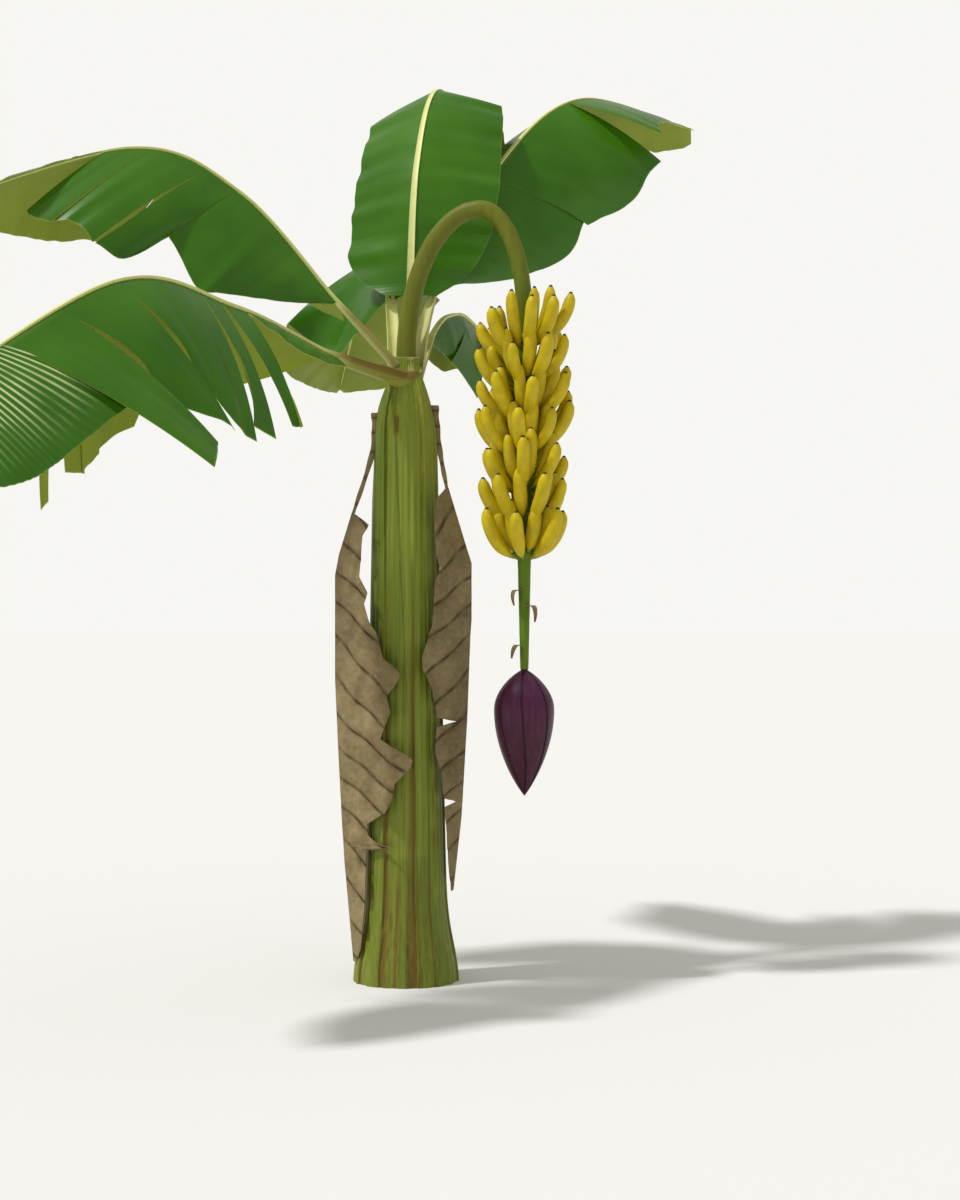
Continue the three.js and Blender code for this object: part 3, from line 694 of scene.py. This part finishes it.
def placeOnStrip(midrib, half, strip, start, hand, share, across):
    # where a point of a strip lies, and the way its upper side faces
    along = blendBetween(start, strip["end"], share)
    point, tangent, side, up = midrib.frameAt(blendBetween(midrib.petioleShare, 1, along))
    fold = np.radians(readSmooth(strip["fold"], share)
                      * (1 - leafCommon["cupping"] * (1 - across))
                      + strip.get("curl", 0) * across ** 2)
    down = unit(blendBetween(-up, np.array([0, 0, -1.0]), half["droop"]))
    outwards = side * (-hand * np.cos(fold))[:, None] + down * np.sin(fold)[:, None]
    reach = (readSmooth(strip["reach"], share) * across)[:, None]
    opening = strip.get("slit", 0) * share ** 6 * np.sin(across ** 1.7 * math.pi)
    lean = (readSmooth(strip["lean"], share) * across - opening)[:, None]
    return point + outwards * reach + tangent * lean, unit(np.cross(outwards, tangent)) * -hand


def makeStrip(name, midrib, half, strip, start, hand, layer, chance):
    # one torn strip: y runs along the blade, x from the midrib out to the margin
    bladeLength = midrib.length * (1 - midrib.petioleShare)
    # a ribbed strip gets fine ridges here, and painted highlight stripes along them in the leaf finish
    ridged = strip.get("ribbing", 0)
    rowLength = leafCommon["ridgeSpacing"] / 5 if ridged else leafCommon["rowLength"]
    rows = max(8, round((strip["end"] - start) * bladeLength / rowLength))
    piece = addSheet(name, leafCommon["columns"], rows)
    across, share = sheetPlaces(piece)
    blade, normal = placeOnStrip(midrib, half, strip, start, hand, share, across)
    metres = blendBetween(start, strip["end"], share) * bladeLength
    tears = leafCommon["raggedPlaces"]
    ragged = np.interp(metres / leafCommon["raggedStep"], np.arange(tears),
                       [chance.uniform(-1, 1) for _ in range(tears)])
    broad, narrow = leafCommon["waves"]
    wave = (np.sin(metres * 2 * math.pi / broad + half["phase"])
            + 0.5 * np.sin(metres * 2 * math.pi / narrow + 2 * half["phase"]))
    relief = midrib.leaf.get("ripple", leafCommon["ripple"]) * across ** 0.7 * wave
    relief = relief + layer * midrib.leaf.get("apart", 0) * across
    relief = relief + ridged * leafCommon["ridgeHeight"] * np.sin(metres * ridgeTurn)
    blade = blade + normal * relief[:, None]
    blade[:, 2] += leafCommon["raggedness"] * ragged * across ** 3
    putPlaces(piece, blade)
    mark(piece, along=metres, across=across, ribbing=ridged)
    # the grid's own face direction must be the upper side
    face = piece.data.polygons[len(piece.data.polygons) // 2]
    corner = face.vertices[0]
    if Vector(normal[corner]).dot(face.normal) < 0:
        piece.data.flip_normals()
    return piece


def makeBlade(name, midrib, number):
    chance = random.Random(100 + number)
    pieces = []
    for hand, halfName in ((1, "left"), (-1, "right")):
        half = midrib.leaf[halfName]
        half["phase"] = chance.uniform(0, 6)
        start = 0
        for order, strip in enumerate(half["strips"]):
            pieces.append(makeStrip(f"{name}_strip", midrib, half, strip, start, hand, order % 2,
                                    chance))
            start = strip["end"]
    blade = joined(pieces, f"{name}_blade")
    for face in ("leafTop", "leafUnder"):
        blade.data.materials.append(finishes[face])
    withModifier(blade, "SOLIDIFY", thickness=leafCommon["thickness"], offset=-1,
                 material_offset=1, material_offset_rim=1)
    handOver(blade, "blade", f"{name}_inner", f"{name}_outer", smooth=60)


def makeRib(name, midrib):
    # the petiole and the midrib it runs into: round below, a pale channel above
    leaf = midrib.leaf
    piece = addRod(f"{name}_rib", 20, 120)
    t, turn, within = rodPlaces(piece)
    point, _, side, up = midrib.frameAt(t)
    ends = midrib.petioleShare
    root, end = leaf["petiole"]
    thick, thin = leaf["rib"]
    bare = ease((t - ends + 0.03) / 0.06)
    halfWidth = blendBetween(blendBetween(root, end, t / ends),
                             blendBetween(thick, thin, np.clip((t - ends) / (1 - ends), 0, 1)), bare)
    depth = halfWidth * blendBetween(0.85, 1.0, bare)
    x = np.cos(turn)
    upper = np.sin(turn) > 0
    channel = blendBetween(0.35, 0.12, bare) * halfWidth
    rim = leafCommon["ribRise"] + channel * (x ** 2)
    z = np.where(upper, rim - channel * np.sin(turn), depth * np.sin(turn))
    putPlaces(piece, offLine(point, side, up, -x * halfWidth * within, z * within))
    # channel marks the upper face, which the rib finish paints paler when young, partly painted light,
    # and dark brown when old, partly painted shade
    mark(piece, channel=np.where(np.sin(turn) > 0.25, 1, 0),
         rim=np.where(np.abs(np.sin(turn)) < 0.32, 1, 0),
         age=leaf["age"] * (1 - ease((t - ends * 0.75) / (ends * 0.4))))
    handOver(piece, "petiole", f"{name}_petiole", finish="rib", smooth=60)


for number, (name, leaf) in enumerate(leaves.items()):
    midrib = Midrib(leaf)
    makeRib(name, midrib)
    makeBlade(name, midrib, number)
print("leaves hung:", len(leaves))


# the fruit stalk: up out of the crown, over in an arch and straight down to the bud

stalk = {
    "lean": -0.25,
    "riseReach": 0.245,
    "riseHeight": 0.49,
    "fallReach": 0.148,
    "fallHeight": 0.357,
    "hangEnd": 1.04,
    "radii": [0.032, 0.030, 0.0275, 0.0255, 0.0245, 0.0135],
    "sides": 24,
    "rows": 110,
}


def stalkPoint(t):
    # t from 0 at the crown to 1 at the end of the arch, then on to 2 at the bud
    angle = np.clip(t, 0, 1) * math.pi
    rising = angle < math.pi / 2
    top = stem["height"] + stalk["riseHeight"]
    x = np.where(rising, stalk["riseReach"] * (1 - np.cos(angle)),
                 stalk["riseReach"] - stalk["fallReach"] * np.cos(angle))
    z = np.where(rising, stem["height"] + stalk["riseHeight"] * np.sin(angle),
                 top - stalk["fallHeight"] * (1 - np.sin(angle)))
    archFoot = top - stalk["fallHeight"]
    z = np.where(t > 1, blendBetween(archFoot, stalk["hangEnd"], np.clip(t - 1, 0, 1)), z)
    return np.stack([x, stalk["lean"] * x, z], axis=-1)


hangPlace = stalkPoint(np.array([1.0]))[0]


def besideStalk(x, y, height):
    return np.column_stack([hangPlace[0] + x, hangPlace[1] + y, height])


def makeStalk():
    piece = addRod("fruit_stalk", stalk["sides"], stalk["rows"])
    share, turn, within = rodPlaces(piece)
    t = share * 2
    point = stalkPoint(t)
    tangent = unit(stalkPoint(np.minimum(t + 0.004, 2)) - stalkPoint(np.maximum(t - 0.004, 0)))
    side = unit(np.array([-stalk["lean"], 1.0, 0.0])) * np.ones((len(t), 1))
    front = np.cross(tangent, side)
    radius = readAlong(stalk["radii"], t / 2)
    radius = radius * (1 + 0.02 * np.sin(turn * 5 + t * 3) + 0.012 * np.sin(t * 90))
    putPlaces(piece, offLine(point, side, front, np.cos(turn) * radius * within,
                             np.sin(turn) * radius * within))
    mark(piece, old=1 - ease((t - 0.7) / 0.6))
    faceOutwards(piece)
    nodes = [f"fruit_stalk_{part}" for part in ("rise", "bend", "fall", "hang")]
    handOver(piece, "stalk", *nodes, finish="stalk", smooth=60)


makeStalk()
print("fruit stalk arched")


# the crown's collars: a sheath round the foot of the stalk, and the clasping foot of the
# lowest petiole, which is drawn across the front of the neck
collar = {"low": 1.985, "high": 2.078, "lowRadius": 0.05, "highRadius": 0.042, "lip": 0.005,
          "skew": 0.006}
clasp = {
    "places": [(0.042, -0.020, 2.012), (0.014, -0.047, 1.999), (-0.03, -0.066, 2.0),
               (-0.085, -0.108, 2.024)],
    "halfDepth": [0.016, 0.027, 0.03, 0.021],
    "thickness": [0.008, 0.014, 0.02, 0.02],
}


def makeCollar():
    piece = addRod("crown_collar", 48, 16)
    t, turn, within = rodPlaces(piece)
    radius = blendBetween(collar["lowRadius"], collar["highRadius"], t)
    radius = radius + collar["lip"] * ease((t - 0.85) / 0.15) + 0.002 * np.sin(turn * 5 + 1)
    height = blendBetween(collar["low"], collar["high"], t) + collar["skew"] * t * np.sin(turn)
    putPlaces(piece, np.column_stack([np.cos(turn) * radius * within,
                                      np.sin(turn) * radius * within, height]))
    mark(piece, age=0.4, channel=0, rim=ease((t - 0.9) / 0.08))
    faceOutwards(piece)
    handOver(piece, "petiole", finish="rib")


def makeClasp():
    piece = addRod("petiole_clasp", 20, 50)
    t, turn, within = rodPlaces(piece)
    point, tangent = lineThrough(np.array(clasp["places"]), t)
    level = unit(np.cross(tangent, np.array([0, 0, 1.0])))
    up = np.cross(level, tangent)
    sideways = np.cos(turn) * readSmooth(clasp["thickness"], t) * within
    upwards = np.sin(turn) * readSmooth(clasp["halfDepth"], t) * within
    putPlaces(piece, offLine(point, level, up, sideways, upwards))
    # the clasp is old, so its channel is painted dark brown: partly its dry colour, partly painted
    # shade inside the channel
    mark(piece, age=1.0, channel=ease((np.sin(turn) - 0.1) / 0.3),
         rim=np.exp(-((np.sin(turn) - 0.1) / 0.16) ** 2))
    faceOutwards(piece)
    handOver(piece, "petiole", finish="rib", smooth=60)


makeCollar()
makeClasp()
print("crown collared")


# the bunch: one finger is modelled, then copied round the stalk in two rows to each hand

bunch = {
    "hands": 7,
    "topHand": 2.1,
    "bottomHand": 1.395,
    "wind": 0.115,          # how far the top hand sinks in one turn round the stalk
    "topReach": 0.158,
    "bottomReach": 0.143,
    "rise": 0.16,
    "fingerRadius": 0.0215,
    "fingerSides": 12,
    "fingerRows": 18,
    "topFingers": 8,
    "bottomFingers": 7,
    "handTurn": 0.47,
    "cushionRadius": 0.036,
    "cushionHalfHeight": 0.024,
    "pedicelReach": 0.03,
    "pedicelRise": 0.012,
    "rowRise": 0.022,
    "rowDraw": 0.34,        # how much nearer to the stalk the upper row of fingers stays
}


def fingerSection(t):
    # radius of a finger from its thin pedicel to the dark end of its tip
    return np.interp(t, [0, 0.08, 0.17, 0.3, 0.5, 0.78, 0.88, 0.94, 0.965, 0.985, 1],
                     [0.3, 0.34, 0.62, 0.92, 1.0, 0.96, 0.84, 0.56, 0.32, 0.26, 0.18])


def placeFinger(pattern, name, angle, base, reach, rise, bow, size, roll):
    piece = pattern.copy()
    piece.data = pattern.data.copy()
    piece.name = name
    bpy.context.scene.collection.objects.link(piece)
    t, turn, within = rodPlaces(piece)

    def line(share):
        out = base[0] + (reach - base[0]) * np.sin(share * math.pi / 2) ** bow
        high = base[1] + rise * (share ** 1.25)
        return np.stack([out, high], axis=-1)

    here = line(t)
    ahead = unit(line(np.minimum(t + 0.02, 1)) - line(np.maximum(t - 0.02, 0)))
    radius = bunch["fingerRadius"] * size * fingerSection(t)
    radius = radius * (1 + 0.05 * np.cos(5 * turn + roll))
    outwards = np.cos(turn) * radius * within
    aside = np.sin(turn) * radius * within
    out = here[:, 0] + outwards * ahead[:, 1]
    high = here[:, 1] - outwards * ahead[:, 0]
    x = out * math.cos(angle) - aside * math.sin(angle)
    y = out * math.sin(angle) + aside * math.cos(angle)
    putPlaces(piece, besideStalk(x, y, high))
    mark(piece, fingerEnd=t)
    return piece


def makeHand(pattern, index, chance):
    share = index / (bunch["hands"] - 1)
    level = blendBetween(bunch["topHand"], bunch["bottomHand"], share)
    reach = blendBetween(bunch["topReach"], bunch["bottomReach"], share)
    count = round(blendBetween(bunch["topFingers"], bunch["bottomFingers"], share))
    fingers = []
    for row in (0, 1):
        for i in range(count):
            angle = 2 * math.pi * (i + 0.5 * row) / count + index * bunch["handTurn"]
            angle += chance.uniform(-0.13, 0.13)
            out = reach * (1 - bunch["rowDraw"] * row) * chance.uniform(0.88, 1.04)
            rise = bunch["rise"] * chance.uniform(0.8, 1.08) * (1 + 0.06 * row)
            sunk = bunch["wind"] * (1 - share) * ((-angle / (2 * math.pi)) % 1)
            base = (bunch["pedicelReach"],
                    level - sunk + bunch["pedicelRise"] + bunch["rowRise"] * row)
            fingers.append(placeFinger(pattern, f"hand_{index + 1}_finger", angle, base, out, rise,
                                       chance.uniform(0.75, 1.05), chance.uniform(0.9, 1.08),
                                       chance.uniform(0, 6)))
    hand = joined(fingers, f"hand_{index + 1}_fingers")
    faceOutwards(hand)
    handOver(hand, "fruit", f"hand_{index + 1}", finish="fruit")


def makeCushions():
    # the knobbly green cushions that the hands grow from
    cushions = []
    for index in range(bunch["hands"]):
        piece = addRod(f"cushion_{index + 1}", 28, 10)
        t, turn, within = rodPlaces(piece)
        height = t * 2 - 1
        full = np.sqrt(np.clip(1 - 0.92 * height ** 2, 0, 1))
        knobs = 1 + 0.1 * np.cos(turn * bunch["topFingers"] + index)
        radius = bunch["cushionRadius"] * full * knobs * within
        share = index / (bunch["hands"] - 1)
        level = blendBetween(bunch["topHand"], bunch["bottomHand"], share) + 0.024
        putPlaces(piece, besideStalk(np.cos(turn) * radius, np.sin(turn) * radius,
                                     level + height * bunch["cushionHalfHeight"]))
        mark(piece, old=0.25)
        cushions.append(piece)
    piece = joined(cushions, "hand_cushions")
    faceOutwards(piece)
    handOver(piece, "stalk", finish="stalk")


makeCushions()
pattern = addRod("finger_pattern", bunch["fingerSides"], bunch["fingerRows"])
chance = random.Random(11)
for index in range(bunch["hands"]):
    makeHand(pattern, index, chance)
bpy.data.objects.remove(pattern)
print("bunch hung")


# dried bracts that still cling to the bare stretch of the stalk: height, degrees round from
# the front, length and how far the tip curls over
dryBracts = [(1.298, -52, 0.066, 2.2), (1.247, 40, 0.07, 2.0), (1.118, -44, 0.056, 1.3)]
bractHalfWidth = 0.012
bractFoot = 0.017           # how far out from the stalk's axis a bract starts


def makeDryBract(height, around, length, curl):
    piece = addSheet("dry_bract", 6, 18)
    places = placesOf(piece)
    t = (places[:, 1] + 1) / 2
    out = bractFoot + length * np.sin(curl * t) / curl
    fall = 0.75 * length * t - 0.3 * length * np.sin(t * math.pi)
    width = bractHalfWidth * np.sqrt(np.clip(1 - t ** 2, 0.02, 1)) * places[:, 0]
    cup = 0.3 * bractHalfWidth * places[:, 0] ** 2
    turn = math.radians(around)
    x = (out + cup) * math.sin(turn) + width * math.cos(turn)
    y = width * math.sin(turn) - (out + cup) * math.cos(turn)
    putPlaces(piece, besideStalk(x, y, height - fall))
    mark(piece, crease=0.4 * t)
    return piece


dryPiece = joined([makeDryBract(*bract) for bract in dryBracts], "dry_bracts")
dryPiece.data.materials.append(finishes["dry"])
withModifier(dryPiece, "SOLIDIFY", thickness=0.0018, offset=0)
handOver(dryPiece, "dead_blade", smooth=60)


# the flower bud: bracts wrapped round each other, their margins running down to the tip

bud = {
    "length": 0.418,
    "radius": 0.1,
    "widest": 0.32,
    "topFullness": 0.7,
    "tipFullness": 0.85,
    "sides": 240,
    "rows": 110,
    "lap": 0.7,             # radians over which a bract's margin thickness dies out
    "depth": 0.0035,
    "neckRadius": 0.0135,
    "tipRadius": 0.0012,
    "seam": 0.0042,
}
# each bract margin: degrees round from the front where it starts and where it meets the tip
bractMargins = [(-8, 9), (44, 62), (-56, -34), (112, 150), (172, 214), (-118, -86)]


def makeBud():
    piece = addRod("flower_bud_bracts", bud["sides"], bud["rows"])
    rise, angle, within = rodPlaces(piece, fromFront=True)
    t = 1 - rise
    above = np.sin(np.clip(t / bud["widest"], 0, 1) * math.pi / 2) ** bud["topFullness"]
    below = np.cos(np.clip((t - bud["widest"]) / (1 - bud["widest"]), 0, 1) * math.pi / 2)
    radius = bud["radius"] * np.where(t < bud["widest"], above, below ** bud["tipFullness"])
    radius = np.maximum(radius, np.where(t < 0.5, bud["neckRadius"], bud["tipRadius"]))
    relief = np.zeros(len(t))
    seam = np.zeros(len(t))
    for start, finish in bractMargins:
        edge = np.radians(blendBetween(start, finish, t ** 1.4))
        inside = turnFrom(edge, angle)
        thin = np.minimum(1, radius / 0.05)
        relief += np.where((inside >= 0) & (inside < bud["lap"]),
                           bud["depth"] * thin * (1 - inside / bud["lap"]), 0)
        arc = inside * radius
        seam = np.maximum(seam, np.exp(-(((arc + 0.002) / bud["seam"]) ** 2)))
    reach = (radius + relief - bud["depth"] * 0.5) * within
    height = stalk["hangEnd"] - t * bud["length"]
    putPlaces(piece, besideStalk(reach * np.sin(angle), -reach * np.cos(angle), height))
    mark(piece, low=ease(t * 1.2), seam=seam * 0.9)
    handOver(piece, "bud", "flower_bud", finish="bud")


makeBud()
print("flower bud wrapped")


# dead leaves: crumpled sheets that hang from dry straps, beside the stem and partly over it

# edges are [height, distance out from the stem's axis]; the outer one is nearly straight,
# the inner one is torn into lobes that lie over the stem
deadLeaves = {
    "dead_leaf_left": {
        "side": -1, "strapTop": 1.89, "depth": 0.014, "slant": 0.8, "widest": 0.237,
        "outer": [(0.07, 0.172), (0.4, 0.203), (0.55, 0.213), (0.75, 0.224), (1.0, 0.236),
                  (1.35, 0.236), (1.42, 0.222), (1.555, 0.178)],
        "inner": [(0.07, 0.162), (0.12, 0.145), (0.3, 0.13), (0.445, 0.128), (0.454, 0.024),
                  (0.466, 0.088), (0.49, 0.122), (0.53, 0.125), (0.57, 0.064), (0.61, 0.042),
                  (0.67, 0.03), (0.72, -0.02), (0.75, -0.028),
                  (0.81, 0.08), (0.85, 0.066), (0.9, 0.046), (0.95, 0.06), (0.98, 0.036),
                  (1.015, 0.016), (1.035, 0.016), (1.075, 0.07), (1.16, 0.094), (1.19, 0.116),
                  (1.255, 0.136), (1.29, 0.123), (1.345, 0.153), (1.48, 0.14), (1.515, 0.12),
                  (1.555, 0.172)],
    },
    "dead_leaf_right": {
        "side": 1, "strapTop": 1.915, "depth": 0.014, "slant": 0.95, "widest": 0.217,
        "outer": [(0.307, 0.158), (0.55, 0.185), (0.88, 0.204), (1.15, 0.214), (1.2, 0.218),
                  (1.39, 0.218), (1.43, 0.205), (1.637, 0.142)],
        "inner": [(0.307, 0.152), (0.4, 0.142), (0.5, 0.138), (0.585, 0.13), (0.6, 0.168),
                  (0.614, 0.128), (0.7, 0.12), (0.77, 0.1), (0.85, 0.106), (0.866, 0.172),
                  (0.88, 0.106), (0.98, 0.09), (1.04, 0.062), (1.08, 0.058), (1.18, 0.09), (1.33, 0.1),
                  (1.37, 0.118), (1.42, 0.104), (1.5, 0.1), (1.6, 0.104), (1.637, 0.136)],
    },
}
deadCommon = {
    "rows": 300,
    "columns": 44,
    "thickness": 0.003,
    "pleat": 0.113,         # height between creases
    "pleatSlope": 0.9,      # how far a crease runs down for each metre inwards
    "pleatDepth": 0.03,
    "crumple": 0.014,
    "wrinkle": 0.0025,
    "creaseWidth": 0.055,
    "strapWidths": (0.014, 0.006),
    "strapDepths": (0.006, 0.004),
    "strapDrop": 0.13,      # how far below its top a strap leaves the stem
}


def readEdge(edge, height):
    return np.interp(height, [place[0] for place in edge], [place[1] for place in edge])


def makeDeadLeaf(name, dead, number):
    piece = addSheet(f"{name}_blade", deadCommon["columns"], deadCommon["rows"])
    across, along = sheetPlaces(piece)
    foot, neck = dead["outer"][0][0], dead["outer"][-1][0]
    height = blendBetween(foot, neck, along)
    outer = readEdge(dead["outer"], height)
    inner = readEdge(dead["inner"], height)
    reach = blendBetween(outer, inner, across)
    # creases run down and inwards from the outer edge, like the side veins of the leaf
    phase = (height + (outer - reach) * deadCommon["pleatSlope"]) / deadCommon["pleat"]
    phase = phase + 0.18 * np.sin(height * 9 + number) + 0.05 * np.sin(reach * 44 + height * 7)
    saw = phase - np.floor(phase)
    bulge = np.sin(saw ** 0.6 * math.pi) ** 0.8
    slow = np.sin(height * 23 + reach * 31 + number * 2) * np.sin(height * 11 - reach * 47)
    forward = deadCommon["pleatDepth"] * bulge * np.sin(np.clip(across, 0, 1) * math.pi * 0.5)
    fine = np.sin(height * 74 + reach * 52) * np.sin(reach * 96 - height * 31)
    forward = forward + deadCommon["crumple"] * slow * across + deadCommon["wrinkle"] * fine
    depth = dead["depth"] - dead["slant"] * (dead["widest"] - reach)
    putPlaces(piece, np.column_stack([dead["side"] * reach, depth - forward, height]))
    # crease paints each fold line dark: partly the dry leaf's own dark fold lines, partly painted
    # shade where each pleat steps back
    crease = sum(np.exp(-(((saw - middle) / deadCommon["creaseWidth"]) ** 2))
                 for middle in (0.02, 1.02))
    broken = 0.75 + 0.25 * np.sin(reach * 110 + height * 17)
    mark(piece, crease=np.clip(crease * broken, 0, 1))
    piece.data.materials.append(finishes["dry"])
    withModifier(piece, "SOLIDIFY", thickness=deadCommon["thickness"], offset=0)
    handOver(piece, "dead_blade", name, smooth=45)


def makeStrap(name, dead):
    piece = addRod(f"{name}_stalk", 10, 40)
    t, turn, within = rodPlaces(piece)
    top, lower = dead["strapTop"], dead["strapTop"] - deadCommon["strapDrop"]
    neck, neckReach = dead["outer"][-1]
    neckReach -= 0.005
    neckDepth = dead["depth"] - dead["slant"] * (dead["widest"] - neckReach)
    knots = np.array([[stemRadius(top) + 0.012, -0.01, top],
                      [stemRadius(lower) + 0.01, -dead["depth"], lower],
                      [neckReach, neckDepth, neck]])
    knots[:, 0] *= dead["side"]
    x, y, height = lineThrough(knots, t)[0].T
    halfWidth = blendBetween(*deadCommon["strapWidths"], t) * (1 + 0.12 * np.sin(t * 25))
    x = x + np.cos(turn) * halfWidth * within
    y = y + np.sin(turn) * blendBetween(*deadCommon["strapDepths"], t) * within
    putPlaces(piece, np.column_stack([x, y, height]))
    bands = np.exp(-(((t * 5) % 1 - 0.5) / 0.09) ** 2)
    mark(piece, crease=bands * 0.8)
    faceOutwards(piece)
    handOver(piece, "dead_strap", f"{name}_strap", finish="dry")


for number, (name, dead) in enumerate(deadLeaves.items()):
    makeDeadLeaf(name, dead, number)
    makeStrap(name, dead)
print("dead leaves hung")


# floor, light and camera

studio = {
    "floorTint": (0.80, 0.80, 0.80, 1),
    "backdropTint": (0.93, 0.922, 0.89, 1),
    "skyTint": (1.0, 0.97, 0.90, 1),
    "skyStrength": 0.56,
    "sunFrom": (-0.62, -0.26, 1.0),
    "sunTint": (1.0, 0.995, 0.98),
    "sunStrength": 2.3,
    "sunSoftness": 5,       # degrees
    "cameraPlace": (0.247, -7.6, 1.267),
    "lens": 68.4,
}


def makeStudio():
    dropSelection()
    bpy.ops.mesh.primitive_plane_add(size=160)
    floor = named("floor")
    finish = Finish("paleFloor", Roughness=1.0, Specular_IOR_Level=0.0,
                    Base_Color=studio["floorTint"])
    floor.data.materials.append(finish.material)
    # an even sky that lights the plant, behind it a backdrop as pale as the lit floor
    world = bpy.data.worlds.new("softSky")
    bpy.context.scene.world = world
    world.use_nodes = True
    nodes, links = world.node_tree.nodes, world.node_tree.links
    sky = nodes["Background"]
    sky.inputs["Color"].default_value = studio["skyTint"]
    sky.inputs["Strength"].default_value = studio["skyStrength"]
    backdrop = nodes.new("ShaderNodeBackground")
    backdrop.inputs["Color"].default_value = studio["backdropTint"]
    chooser = nodes.new("ShaderNodeMixShader")
    links.new(nodes.new("ShaderNodeLightPath").outputs["Is Camera Ray"], chooser.inputs[0])
    links.new(sky.outputs[0], chooser.inputs[1])
    links.new(backdrop.outputs[0], chooser.inputs[2])
    links.new(chooser.outputs[0], nodes["World Output"].inputs[0])
    bpy.ops.object.light_add(type="SUN", location=(-3, -1, 6))
    sun = bpy.context.object
    sun.name = "keyLight"
    sun.data.energy = studio["sunStrength"]
    sun.data.color = studio["sunTint"]
    sun.data.angle = math.radians(studio["sunSoftness"])
    sun.rotation_euler = Vector(studio["sunFrom"]).to_track_quat("Z", "Y").to_euler()
    bpy.ops.object.camera_add(location=studio["cameraPlace"], rotation=(math.pi / 2, 0, 0))
    camera = bpy.context.object
    camera.data.lens = studio["lens"]
    bpy.context.scene.camera = camera
    bpy.context.scene.view_settings.view_transform = "Standard"


makeStudio()
